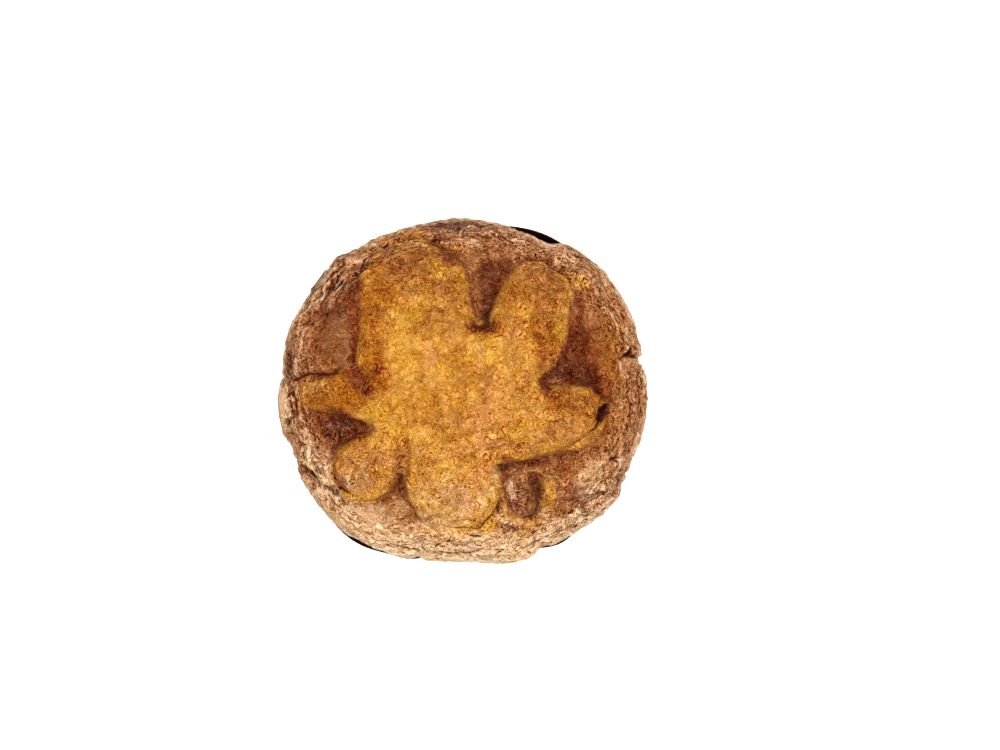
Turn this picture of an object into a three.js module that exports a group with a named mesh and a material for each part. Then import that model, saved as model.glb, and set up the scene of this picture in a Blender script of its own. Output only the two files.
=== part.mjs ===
// A tall one-kilogram panettone in its brown paper baking case.
// Millimetres, +Z up, origin at the middle of the case's foot, +Y towards the far side of the crown.
// The crust was scored as a star before baking: the dough pushed up through the cuts as six swollen
// lobes, and the skin left between them stayed lower, smoother and darker.
import * as THREE from "three";

// Driving dimensions
const CASE_HEIGHT = 106; // rim of the paper case above the table
const CASE_FOOT_RADIUS = 85; // a 170 mm case, outside
const CASE_WALL = 0.8; // corrugated paper with its glue
const FIT_GAP = 0.5; // between crumb and paper
const EVEN_SWELL = 0.35; // share of the wall's swelling spread over its height; the rest comes near the rim
const CROWN_RADIUS = 90.2; // mean radius where the crown is widest
const CROWN_WIDE_Z = 117; // height of that widest line
const DOME_HEIGHT = 40; // from the widest line to the apex of the plain dome
const DOME_POWER = 0.84; // below 1 the dome is fuller than an ellipsoid
const LIP_CLEARANCE = 0.6; // between the paper rim and the crust that overhangs it
const FOOT_ROUND = 7; // rounded lower edge of the loaf

// Mesh fineness
const CROWN_RINGS = 34; // rings from the apex to the neck
const PROFILE_STEPS = 400; // fine steps from which the even rings are picked
const SECTORS = 6; // each ring has this many points more than the one inside it
const CASE_SIDES = 72;
const CASE_SHARES = [0, 0.4, 0.7, 0.88, 1]; // levels of the wall, as shares of its height
const BODY_SHARES = [0.88, 0.7, 0.4]; // the same on the loaf inside it, downwards

// Relief of the scored star
const LOBE_RISE = 5.2; // swollen lobes above the skin between them
const LOBE_SHOULDER = 10; // how far in from its edge a lobe goes on rising
const EDGE_FURROW = 1.6; // furrow along the foot of each lobe
const FURROW_REACH = 6;
const LOBE_BLEND = 5; // how softly two lobes run together
const LOBE_FADE = { amount: 0.45, from: 0.55, to: 0.9 }; // the lobes flatten towards the rim
const HOLLOW_POWER = 1.4; // above 1 a hollow has a flatter bottom and steeper sides
const RELIEF_END = 0.9; // turn of the tuck, in radians, at which the relief has died away
const STAR_HUB = { x: -3, y: -1, r: 33 };
// Each lobe runs from a root circle to a tip circle, given as x, y and radius.
const LOBES = [
  { root: [-24, 14, 27], tip: [-24, 48, 27] }, // far left, the largest
  { root: [-10, 28, 20.5], tip: [-24, 48, 27] }, // its inner flank
  { root: [30, 26, 21.5], tip: [37, 47, 17.5] }, // far right
  { root: [14, -16, 21], tip: [55, -12, 16.5] }, // right
  { root: [-5, -18, 24], tip: [-4, -46, 23.5] }, // near
  { root: [-30, -24, 11], tip: [-48, -38, 17] }, // near left
  { root: [-40, -3, 14], tip: [-72, -1, 8.5] }, // left, short and narrow
];
// Oval hollows (depth above 0) and knobs (depth below 0): centre, half sizes, turn in degrees.
const HOLLOWS = [
  { at: [-62, -17], size: [15, 7], turn: -14, depth: 3.8 }, // scorched pocket between the left lobes
  { at: [-46.5, 2], size: [6, 6.5], turn: 0, depth: 3 },
  { at: [10, 36], size: [5.5, 7.5], turn: 0, depth: 3 }, // point of the far cut
  { at: [42, 6], size: [8, 4.5], turn: 0, depth: 2.6 }, // point of the right cut
  { at: [24, -37], size: [8, 4], turn: 8, depth: 2.2 }, // point of the near right cut
  { at: [-62, 27], size: [11, 18], turn: 8, depth: 1.6 }, // broad panel of old skin, far left
  { at: [69.5, -10.2], size: [3, 5.6], turn: -45, depth: 6 }, // torn hole at the tip of the right lobe
  { at: [36.5, -50], size: [4, 11], turn: 4, depth: 3 }, // moat of the knob
  { at: [27.5, -50.5], size: [7.5, 11], turn: 10, depth: -3.8 }, // knob of skin, near right
  { at: [61, -39.5], size: [10, 5], turn: 38, depth: -2 },
  { at: [44, -50], size: [5, 10], turn: 8, depth: -2.4 },
];
// Folds of the crust: points of a smooth line across it, width and depth of its furrow.
const FOLDS = [
  { path: [[-29, -21], [-29.5, -34], [-31, -46], [-30, -56]], width: 2.6, depth: 3 }, // near cut
  { path: [[-86, -32], [-76, -38.5], [-68, -46.5], [-55, -49.5]], width: 3, depth: 2.4 },
  { path: [[-33, -76.5], [-16, -79], [-4, -80], [11, -78]], width: 2.6, depth: 1.8 },
  { path: [[-91, 7], [-78, 8.5], [-61, 10]], width: 2.8, depth: 1.8 },
  { path: [[76, 15], [82, 18.7], [92, 15]], width: 2.6, depth: 2.4 },
  { path: [[74, -36], [80, -42], [90, -44]], width: 2.8, depth: 1.8 },
  { path: [[-52, 58], [-41, 70.5], [-25, 74.5], [-11, 72.5], [-2, 64]], width: 3, depth: 1.6 },
];
const FOLD_STEPS = 24;
// Wrinkles that run round near the rim, and how far each wave round the outline sways them.
const RIM_WAVE = { depth: 0.7, count: 10.5, from: 0.78, to: 0.92 };
const RIM_SWAY = [
  { waves: 3, turns: 1.05 },
  { waves: 7, turns: 0.6 },
];

// Outline of the crown: an oval with slightly squared corners, dented in places.
const OVAL = 2.5;
const SQUARENESS = 1.2;
const DENTS = [
  { at: 9.5, spread: 2.6, depth: 1.9 },
  { at: 18, spread: 5, depth: 0.7 },
  { at: 42, spread: 4, depth: -1.0 },
  { at: 60.5, spread: 4, depth: 3.7 },
  { at: 70, spread: 7.5, depth: 3.1 },
  { at: 115, spread: 9, depth: 1.4 },
  { at: 126, spread: 4, depth: 1.9 },
  { at: 147, spread: 10, depth: 1.4 },
  { at: 153, spread: 4, depth: 1.1 },
  { at: 174, spread: 6, depth: 1.9 },
  { at: 198.5, spread: 3.5, depth: 2.8 },
  { at: 208, spread: 8, depth: 0.8 },
  { at: 214, spread: 5, depth: 0.9 },
  { at: 237, spread: 8, depth: -0.4 },
  { at: 255, spread: 1.6, depth: 1.5 },
  { at: 269, spread: 9, depth: 1.8 },
  { at: 287, spread: 8, depth: -1.8 },
  { at: 297, spread: 2.5, depth: 2.0 },
  { at: 325.5, spread: 7, depth: -1.8 },
  { at: 338, spread: 5, depth: 1.3 },
  { at: 352, spread: 5, depth: -0.9 },
];
// Where the paper rim stands away from the crown instead of hiding under it.
const FLARES = [
  { at: 64, spread: 15, depth: 2.7 },
  { at: 235, spread: 16, depth: 5.5 },
  { at: 252, spread: 5, depth: 1.9 },
  { at: 303, spread: 8, depth: 3.7 },
];
const RIM_INSET = 2.7; // inner face of the rim inside the undented crown
const NECK_INSET = 3.4; // neck of the loaf inside the undented crown
const NECK_UNDERCUT = 1.4; // least overhang of the crown past its own neck

const radians = THREE.MathUtils.degToRad;
const smooth = THREE.MathUtils.smoothstep;

/** Sum of smooth bumps round the outline, in mm, at the angle theta. */
function around(list, theta) {
  return list.reduce((sum, { at, spread, depth }) => {
    const away = Math.atan2(Math.sin(theta - radians(at)), Math.cos(theta - radians(at)));
    return sum + depth * Math.exp(-((away / radians(spread)) ** 2));
  }, 0);
}

const plainRadius = (theta) =>
  CROWN_RADIUS + OVAL * Math.cos(2 * theta) - SQUARENESS * Math.cos(4 * theta);
const crownRadius = (theta) => plainRadius(theta) - around(DENTS, theta);
const neckRadius = (theta) =>
  Math.min(plainRadius(theta) - NECK_INSET, crownRadius(theta) - NECK_UNDERCUT);
const rimRadius = (theta) => plainRadius(theta) - RIM_INSET + around(FLARES, theta);

/** How much of its swelling the wall has reached at a share of its height: most of it near the rim. */
const wallSwell = (share) => EVEN_SWELL * smooth(share, 0, 1) + (1 - EVEN_SWELL) * share ** 3;

const onCircle = (theta, r, z) => new THREE.Vector3(r * Math.cos(theta), r * Math.sin(theta), z);

/** Distance outside a lobe, negative inside it. */
function lobeDistance(x, y, { root, tip }) {
  const [ax, ay, ar] = root;
  const [bx, by, br] = tip;
  const dx = bx - ax;
  const dy = by - ay;
  const along = ((x - ax) * dx + (y - ay) * dy) / (dx * dx + dy * dy);
  const t = THREE.MathUtils.clamp(along, 0, 1);
  return Math.hypot(x - ax - t * dx, y - ay - t * dy) - (ar + t * (br - ar));
}

/** The smaller of two distances, rounded where they meet. */
function blendUnion(a, b) {
  const h = THREE.MathUtils.clamp(0.5 + (0.5 * (b - a)) / LOBE_BLEND, 0, 1);
  return b * (1 - h) + a * h - LOBE_BLEND * h * (1 - h);
}

const starDistance = (x, y) =>
  LOBES.reduce(
    (d, lobe) => blendUnion(d, lobeDistance(x, y, lobe)),
    Math.hypot(x - STAR_HUB.x, y - STAR_HUB.y) - STAR_HUB.r,
  );

/** Depth of an oval hollow at a point. */
function hollowDepth(x, y, { at, size, turn, depth }) {
  const c = Math.cos(radians(turn));
  const s = Math.sin(radians(turn));
  const u = ((x - at[0]) * c + (y - at[1]) * s) / size[0];
  const v = ((y - at[1]) * c - (x - at[0]) * s) / size[1];
  return depth * Math.exp(-((u * u + v * v) ** HOLLOW_POWER));
}

const foldLines = FOLDS.map(({ path, width, depth }) => ({
  width,
  depth,
  points: new THREE.SplineCurve(path.map(([x, y]) => new THREE.Vector2(x, y))).getPoints(FOLD_STEPS),
}));

/** Depth of a furrow at a point, fading out at both of its ends. */
function foldDepth(x, y, { points, width, depth }) {
  let nearest = Infinity;
  let share = 0;
  points.forEach((p, i) => {
    const d = Math.hypot(x - p.x, y - p.y);
    if (d < nearest) {
      nearest = d;
      share = i / (points.length - 1);
    }
  });
  const fade = Math.sqrt(Math.sin(Math.PI * THREE.MathUtils.clamp(share, 0.04, 0.96)));
  return depth * fade * Math.exp(-((nearest / width) ** 2));
}

/** How far the crust stands above (or below) the plain dome, in mm. */
function relief(x, y, outward) {
  const d = starDistance(x, y);
  const inside = THREE.MathUtils.clamp(-d / LOBE_SHOULDER, 0, 1);
  const flattened = LOBE_FADE.amount * smooth(outward, LOBE_FADE.from, LOBE_FADE.to);
  const lobes = LOBE_RISE * Math.sqrt(1 - (1 - inside) ** 2) * (1 - flattened);
  const furrow = EDGE_FURROW * Math.exp(-((Math.max(d, 0) / FURROW_REACH) ** 2)) * (1 - inside);
  const hollows = HOLLOWS.reduce((sum, hollow) => sum + hollowDepth(x, y, hollow), 0);
  const folds = foldLines.reduce((sum, fold) => sum + foldDepth(x, y, fold), 0);
  const theta = Math.atan2(y, x);
  const turns = RIM_SWAY.reduce(
    (sum, sway) => sum + sway.turns * Math.sin(sway.waves * theta),
    RIM_WAVE.count * outward,
  );
  const wrinkles =
    RIM_WAVE.depth * smooth(outward, RIM_WAVE.from, RIM_WAVE.to) * Math.sin(2 * Math.PI * turns);
  return lobes - furrow - hollows - folds + wrinkles;
}

/** Points of the crown's profile at even steps: share of the crown's radius, height, tucked under. */
function crownProfile() {
  const raw = [];
  for (let i = 0; i <= PROFILE_STEPS; i++) {
    const a = (Math.PI * 0.5 * i) / PROFILE_STEPS;
    raw.push({ share: Math.sin(a) ** DOME_POWER, z: DOME_HEIGHT * Math.cos(a) ** DOME_POWER, tuck: 0 });
  }
  for (let i = 1; i <= PROFILE_STEPS / 4; i++) {
    const a = (Math.PI * 0.5 * i) / (PROFILE_STEPS / 4);
    raw.push({ share: 1, z: 0, tuck: a });
  }
  const neckDrop = CROWN_WIDE_Z - CASE_HEIGHT;
  const place = ({ share, z, tuck }) => [
    share * CROWN_RADIUS - NECK_INSET * (1 - Math.cos(tuck)),
    z - neckDrop * Math.sin(tuck),
  ];
  const lengths = [0];
  for (let i = 1; i < raw.length; i++) {
    const [r0, z0] = place(raw[i - 1]);
    const [r1, z1] = place(raw[i]);
    lengths.push(lengths[i - 1] + Math.hypot(r1 - r0, z1 - z0));
  }
  const total = lengths.at(-1);
  return Array.from({ length: CROWN_RINGS + 1 }, (_, j) => {
    const want = (total * j) / CROWN_RINGS;
    const i = lengths.findIndex((l) => l >= want - 1e-9);
    return raw[i];
  });
}

/** Point of the crown on ring j at the angle theta. */
function crownPoint({ share, z, tuck }, theta) {
  const wide = crownRadius(theta);
  const neck = neckRadius(theta);
  const lip = CASE_HEIGHT + LIP_CLEARANCE;
  const r = share * wide - (wide - neck) * (1 - Math.cos(tuck));
  const height = CROWN_WIDE_Z + z - (CROWN_WIDE_Z - lip) * Math.sin(tuck);
  const x = r * Math.cos(theta);
  const y = r * Math.sin(theta);
  // The relief follows the dome's own slope, and dies away where the crown tucks under.
  const slope = new THREE.Vector3(x / CROWN_RADIUS ** 2, y / CROWN_RADIUS ** 2, z / DOME_HEIGHT ** 2);
  if (slope.lengthSq() === 0) slope.z = 1;
  slope.normalize();
  const rise = relief(x, y, share) * (1 - smooth(tuck, 0, RELIEF_END));
  return new THREE.Vector3(x, y, height).addScaledVector(slope, rise);
}

/** The loaf: rings of more and more points from the apex to the neck, then the body in the case. */
function loafGeometry() {
  const points = [];
  const faces = [];
  const profile = crownProfile();
  const starts = [];
  const addRing = (count, at) => {
    starts.push(points.length);
    for (let i = 0; i < count; i++) points.push(at((2 * Math.PI * i) / count));
  };
  points.push(crownPoint(profile[0], 0));
  starts.push(0);
  for (let j = 1; j <= CROWN_RINGS; j++) addRing(SECTORS * j, (theta) => crownPoint(profile[j], theta));
  for (let i = 0; i < SECTORS; i++) faces.push([0, 1 + i, 1 + ((i + 1) % SECTORS)]);
  for (let j = 1; j < CROWN_RINGS; j++) {
    for (let side = 0; side < SECTORS; side++) {
      for (let k = 0; k < j; k++) {
        const a = starts[j] + side * j + k;
        const b = starts[j] + ((side * j + k + 1) % (SECTORS * j));
        const c = starts[j + 1] + side * (j + 1) + k;
        faces.push([a, c, c + 1], [a, c + 1, b]);
      }
      const corner = starts[j] + ((side * j + j) % (SECTORS * j));
      const last = starts[j + 1] + side * (j + 1) + j;
      const next = starts[j + 1] + (((side + 1) * (j + 1)) % (SECTORS * (j + 1)));
      faces.push([corner, last, next]);
    }
  }
  // Below the neck half as many points go round, and the body keeps just inside the paper.
  const neckCount = SECTORS * CROWN_RINGS;
  const count = neckCount / 2;
  const floor = CASE_WALL + FIT_GAP;
  const insideFoot = CASE_FOOT_RADIUS - floor;
  for (const share of BODY_SHARES)
    addRing(count, (theta) => {
      const r = insideFoot + (neckRadius(theta) - insideFoot) * wallSwell(share);
      return onCircle(theta, r, share * CASE_HEIGHT);
    });
  addRing(count, (theta) => onCircle(theta, insideFoot, floor + FOOT_ROUND));
  addRing(count, (theta) => onCircle(theta, insideFoot - FOOT_ROUND, floor));
  for (let i = 0; i < count; i++) {
    const [a, b, c] = [0, 1, 2].map((k) => starts[CROWN_RINGS] + ((2 * i + k) % neckCount));
    const [d, e] = [0, 1].map((k) => starts[CROWN_RINGS + 1] + ((i + k) % count));
    faces.push([a, d, b], [b, d, e], [b, e, c]);
  }
  for (let ring = CROWN_RINGS + 1; ring < starts.length - 1; ring++)
    for (let i = 0; i < count; i++) {
      const n = (i + 1) % count;
      const [a, b] = [starts[ring] + i, starts[ring] + n];
      const [c, d] = [starts[ring + 1] + i, starts[ring + 1] + n];
      faces.push([a, c, d], [a, d, b]);
    }
  points.push(new THREE.Vector3(0, 0, floor));
  const middle = points.length - 1;
  const lowest = starts.at(-1);
  for (let i = 0; i < count; i++) faces.push([middle, lowest + ((i + 1) % count), lowest + i]);
  return new THREE.BufferGeometry().setFromPoints(points).setIndex(faces.flat());
}

/** Outer radius of the case at a share of its height. */
const caseRadius = (share, theta) =>
  CASE_FOOT_RADIUS + (rimRadius(theta) + CASE_WALL - CASE_FOOT_RADIUS) * wallSwell(share);

/** The paper case: an open cup whose rim follows the loaf, but stands off where the crown is dented. */
function caseGeometry() {
  const points = [];
  const faces = [];
  const addRing = (share, inset, z) => {
    for (let i = 0; i < CASE_SIDES; i++) {
      const theta = (2 * Math.PI * i) / CASE_SIDES;
      points.push(onCircle(theta, caseRadius(share, theta) - inset, z));
    }
  };
  for (const share of CASE_SHARES) addRing(share, 0, share * CASE_HEIGHT);
  for (const share of [...CASE_SHARES].reverse())
    addRing(share, CASE_WALL, Math.max(share * CASE_HEIGHT, CASE_WALL));
  const rings = 2 * CASE_SHARES.length;
  for (let level = 0; level < rings - 1; level++)
    for (let i = 0; i < CASE_SIDES; i++) {
      const n = (i + 1) % CASE_SIDES;
      const [a, b] = [level * CASE_SIDES + i, level * CASE_SIDES + n];
      faces.push([a, b, b + CASE_SIDES], [a, b + CASE_SIDES, a + CASE_SIDES]);
    }
  points.push(new THREE.Vector3(0, 0, 0), new THREE.Vector3(0, 0, CASE_WALL));
  const under = points.length - 2;
  const top = (rings - 1) * CASE_SIDES;
  for (let i = 0; i < CASE_SIDES; i++) {
    const n = (i + 1) % CASE_SIDES;
    faces.push([under, n, i], [under + 1, top + i, top + n]);
  }
  return new THREE.BufferGeometry().setFromPoints(points).setIndex(faces.flat());
}

function mesh(name, geometry, colour, roughness) {
  const made = new THREE.Mesh(
    geometry,
    new THREE.MeshStandardMaterial({ color: colour, roughness, metalness: 0 }),
  );
  made.name = name;
  return made;
}

const panettone = new THREE.Group();
panettone.add(mesh("loaf", loafGeometry(), 0xb9793a, 0.85));
panettone.add(mesh("paper_case", caseGeometry(), 0x2e1613, 0.8));

export default panettone;
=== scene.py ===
"""A tall one-kilogram panettone in its brown paper baking case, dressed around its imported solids."""

import math

import bpy
import numpy as np
from bpy.props import FloatProperty, FloatVectorProperty, IntProperty, PointerProperty
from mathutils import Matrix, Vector


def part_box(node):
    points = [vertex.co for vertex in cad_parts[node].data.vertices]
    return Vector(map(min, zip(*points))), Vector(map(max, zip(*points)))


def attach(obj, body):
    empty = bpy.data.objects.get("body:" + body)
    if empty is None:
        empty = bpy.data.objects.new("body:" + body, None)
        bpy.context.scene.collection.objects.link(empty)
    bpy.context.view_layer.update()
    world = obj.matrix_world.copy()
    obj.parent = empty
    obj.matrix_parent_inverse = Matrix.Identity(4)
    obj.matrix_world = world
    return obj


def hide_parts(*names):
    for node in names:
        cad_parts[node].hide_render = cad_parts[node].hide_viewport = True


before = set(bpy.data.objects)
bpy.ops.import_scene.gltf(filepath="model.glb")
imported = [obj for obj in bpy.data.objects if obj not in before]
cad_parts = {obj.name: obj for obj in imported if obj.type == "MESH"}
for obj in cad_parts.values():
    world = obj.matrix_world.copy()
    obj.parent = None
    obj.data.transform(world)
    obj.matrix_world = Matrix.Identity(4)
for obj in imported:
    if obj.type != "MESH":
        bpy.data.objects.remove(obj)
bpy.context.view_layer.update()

bl_info = {
    "name": "Panettone",
    "version": (1, 0, 0),
    "blender": (4, 5, 0),
    "location": "View3D > Sidebar > Panettone",
    "description": "Builds a scored panettone in its paper case, with a plain studio stage",
    "category": "Object",
}

MM = 0.001
LOAF_HIGH = np.array(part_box("loaf")[1]) / MM
CASE_LOW, CASE_HIGH = (np.array(corner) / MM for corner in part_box("paper_case"))

# The crown's plan, in millimetres and degrees: an oval with slightly squared corners, dented here and
# there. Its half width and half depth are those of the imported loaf.
SQUARENESS = 1.2  # how far its corners stand out
BULGE = 0.5  # and its fullest bulges
OVAL = (LOAF_HIGH[0] - LOAF_HIGH[1]) / 2
CROWN_RADIUS = (LOAF_HIGH[0] + LOAF_HIGH[1]) / 2 + SQUARENESS - BULGE
DENTS = (  # angle, spread, depth (a bulge where it is below 0)
    (9.5, 2.6, 1.9),
    (18, 5, 0.7),
    (42, 4, -1.0),
    (60.5, 4, 3.7),
    (70, 7.5, 3.1),
    (115, 9, 1.4),
    (126, 4, 1.9),
    (147, 10, 1.4),
    (153, 4, 1.1),
    (174, 6, 1.9),
    (198.5, 3.5, 2.8),
    (208, 8, 0.8),
    (214, 5, 0.9),
    (237, 8, -0.4),
    (255, 1.6, 1.5),
    (269, 9, 1.8),
    (287, 8, -1.8),
    (297, 2.5, 2.0),
    (325.5, 7, -1.8),
    (338, 5, 1.3),
    (352, 5, -0.9),
)
FLARES = (  # where the paper rim stands away from the crown
    (64, 15, 2.7),
    (235, 16, 5.5),
    (252, 5, 1.9),
    (303, 8, 3.7),
)
RIM_INSET = 2.7  # from the plain oval in to the paper's rim
NECK_INSET = 3.4  # and in to the crust where it enters the paper
NECK_UNDERCUT = 1.4  # the least that the crown hangs over there
RELIEF_ALLOWANCE = 5.2  # the lobes stand this much above the plain dome
RIM_Z = CASE_HIGH[2]
WIDE_Z = RIM_Z + 11  # height of the crown's widest line
DOME_HEIGHT = LOAF_HIGH[2] - WIDE_Z - RELIEF_ALLOWANCE
DOME_POWER = 0.84  # below 1 the dome is fuller than half an ellipse
LIP_CLEARANCE = 0.35  # between the paper rim and the crust that overhangs it
FOOT_RADIUS = (CASE_HIGH[1] - CASE_LOW[1]) / 2  # the case's flat sides stand straight above its foot
LOAF_GAP = 1.9  # from the outside of the paper to the crumb at the foot
LOAF_FOOT = 1.4  # height of the loaf's underside, on the base of the case
FOOT_BEVEL = 7  # width of its slanted lower edge
PAPER_ALLOWANCE = 0.8  # room for the fluted paper outside RIM_INSET

# The paper case
WALL_SHARES = (0.04, 0.1, 0.22, 0.36, 0.5, 0.62, 0.73, 0.82, 0.89, 0.94, 0.975, 1)
FOOT_CURVE = 1.8  # radius of the rounded lower edge
FLUTE_STEPS = 6  # points across one flute
SEAM_ANGLE = math.radians(118)
SEAM_SPREAD = 4.2  # half width of the glued overlap, degrees
SEAM_STEP = 0.35
HEM_PLEAT = 0.3  # height of the pleats in the folded hem
RIM_DROP = 0.6  # the wavering rim's highest points are this much lower than the solid's
BUCKLE = 0.35  # how far the wall buckles in and out
BASE_Z = 0.9  # underside of the base, on the hem
BASE_RINGS = 24
BASE_INSET = 2.2  # from the foot's outside in to the base's edge
PUNCH_RADIUS = 0.9
BURR_WIRE = 0.22  # radius of the burr round each steam hole
PUNCH_RINGS = ((18, 8), (36, 16), (54, 24), (70, 30))  # steam holes in the base: radius and count

# The stage
LENS = 85
SENSOR = 36
FLOOR_HALF = 2500
KEY_BOX = ((560, 60, 1180), 460)  # place and size of each soft box
FILL_BOX = ((-560, -60, 1180), 900)

# The scored star: each lobe of risen dough runs from a root circle to a tip circle (x, y, radius).
STAR_HUB = (-3, -1, 33)
LOBES = (
    ((-24, 14, 27), (-24, 48, 27)),
    ((-10, 28, 20.5), (-24, 48, 27)),
    ((30, 26, 22), (37, 47, 18)),
    ((14, -16, 21), (55, -12, 16.5)),
    ((-5, -18, 24), (-4, -46, 23.5)),
    ((-30, -24, 11), (-48, -38, 17)),
    ((-40, -3, 14), (-72, -1, 8.5)),
)
# Where a lobe melts into the crust instead of standing over it, as soft-edged ovals. Here and in the
# tables like it the numbers are x, y, half sizes and strength or depth, and the turn where there is one.
MELTS = (
    (-6, -70, 26, 9, 0.9), (-82, 0, 9, 10, 0.9), (-27, -60, 9, 8, 0.6, 40), (63, -24, 10, 4, 0.6, 20),
    (-60, 9, 14, 4, 0.4), (-30, -14, 8, 8, 0.4), (-51, 38, 5, 20, 0.55), (42, -31, 22, 4, 0.4, 14),
    (-66, -42, 4, 6, 0.9), (-68, -11, 7, 4, 0.7, -8),
)
# Oval hollows, or knobs where the depth is negative.
HOLLOWS = (
    (-61, -17.5, 14, 6.5, 3.8, -14), (-66, -26, 3.5, 7, 1.6, 14), (-49, -18, 5, 4.5, 2.2),
    (-47.5, 3, 8, 5, 3.3, -38), (10, 36, 5.5, 7.5, 3.4), (10, 33, 7, 2.6, 1.6), (42, 6, 8, 4.5, 3.0),
    (24, -37, 8, 4, 2.4, 8), (-62, 27, 11, 18, 1.6, 8), (69.6, -10.4, 2.2, 4.8, 6, -45),
    (36.4, -49, 3.0, 9.5, 3.8, 8), (31, -62.5, 7, 2.4, 2.2, 14), (19, -49, 2.4, 9, 1.4, 10),
    (27.5, -50.5, 7, 11, -4.2, 10), (61, -39.5, 10, 4.5, -2.2, 38), (44, -50, 4.5, 10, -2.6, 8),
    (50, -37, 5, 3.4, 1.2), (-63, 52.5, 4.5, 2.6, 2.0, 30), (-70, 47.5, 2.6, 2.0, 1.6, 60),
    (-69, 56, 8, 1.6, 1.6, 52), (-60, 65, 6, 4, -1.0, 35), (-20, 60, 15, 10, -0.8), (36, 50, 12, 12, -0.8),
    (52, -12, 14, 10, -1.2), (-74.5, -41.3, 3.8, 2.6, 2.2, -55), (-78.2, -37.8, 1.3, 2.8, 1.4),
    (-64, -49.6, 4.2, 2.2, 1.6, -28), (-83, -38, 2.4, 4, 1.4, 25), (25, -68, 5, 3, 1.6, -15),
    (7, 76, 10, 5, -0.9), (79, -45, 3, 3.6, 1.8, -30),
)
# Small holes with sharp edges: depth, darkness of the painted shade in them and corners of each.
PITS = (
    (6.0, 1.0, ((66, -7.6), (69.6, -6.4), (73.6, -6.0), (72.2, -8.6), (69.3, -11.5), (66.8, -14.1),
                (64, -16.3), (64, -13), (65, -10))),
    (2.0, 1.0, ((80.8, 18), (82.2, 18.5), (84.2, 17.9), (84.2, 20), (83.2, 22.8), (82.2, 20.8))),
    (1.0, 0.6, ((-88.4, -16.2), (-87.2, -16.4), (-85.6, -13.2), (-86.4, -12.4), (-87.6, -13.8))),
    (1.0, 0.7, ((-84.2, 5.4), (-82.4, 4.8), (-80.6, 6), (-79.4, 7.8), (-81.4, 7.8), (-83.2, 7))),
    (1.0, 0.75, ((-63.6, 8.2), (-62.4, 7.6), (-60.8, 8.8), (-60.2, 10.2), (-62.2, 10))),
    (1.2, 0.6, ((-79.2, -35.2), (-77, -36.6), (-76.8, -38.6), (-77.9, -41.2), (-79, -39.8),
                (-79.4, -37.4))),
    (1.0, 0.7, ((-84, -36.2), (-82.4, -37), (-81.6, -39), (-82.8, -39), (-83.8, -37.8))),
    (0.8, 0.7, ((-82.2, -39.6), (-81, -39.6), (-81.2, -41.2), (-82, -40.9))),
    (0.9, 0.6, ((-75.6, -38.4), (-73.4, -39.6), (-72.6, -41.6), (-73.6, -42), (-75, -40.4))),
    (0.7, 0.4, ((-76.4, -41), (-75, -42), (-75.2, -44.4), (-76.2, -43.4))),
    (0.8, 0.35, ((-66.6, -47.4), (-63, -48), (-61, -50.6), (-63.6, -51.6), (-65.4, -49.8))),
    (1.0, 0.7, ((74.2, -8.4), (75.6, -8.8), (75.8, -10), (74.4, -9.6))),
    (0.6, 0.35, ((-39.8, 71.2), (-36, 71.6), (-34.6, 70), (-37, 69.4), (-40.6, 69.2))),
)
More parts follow.
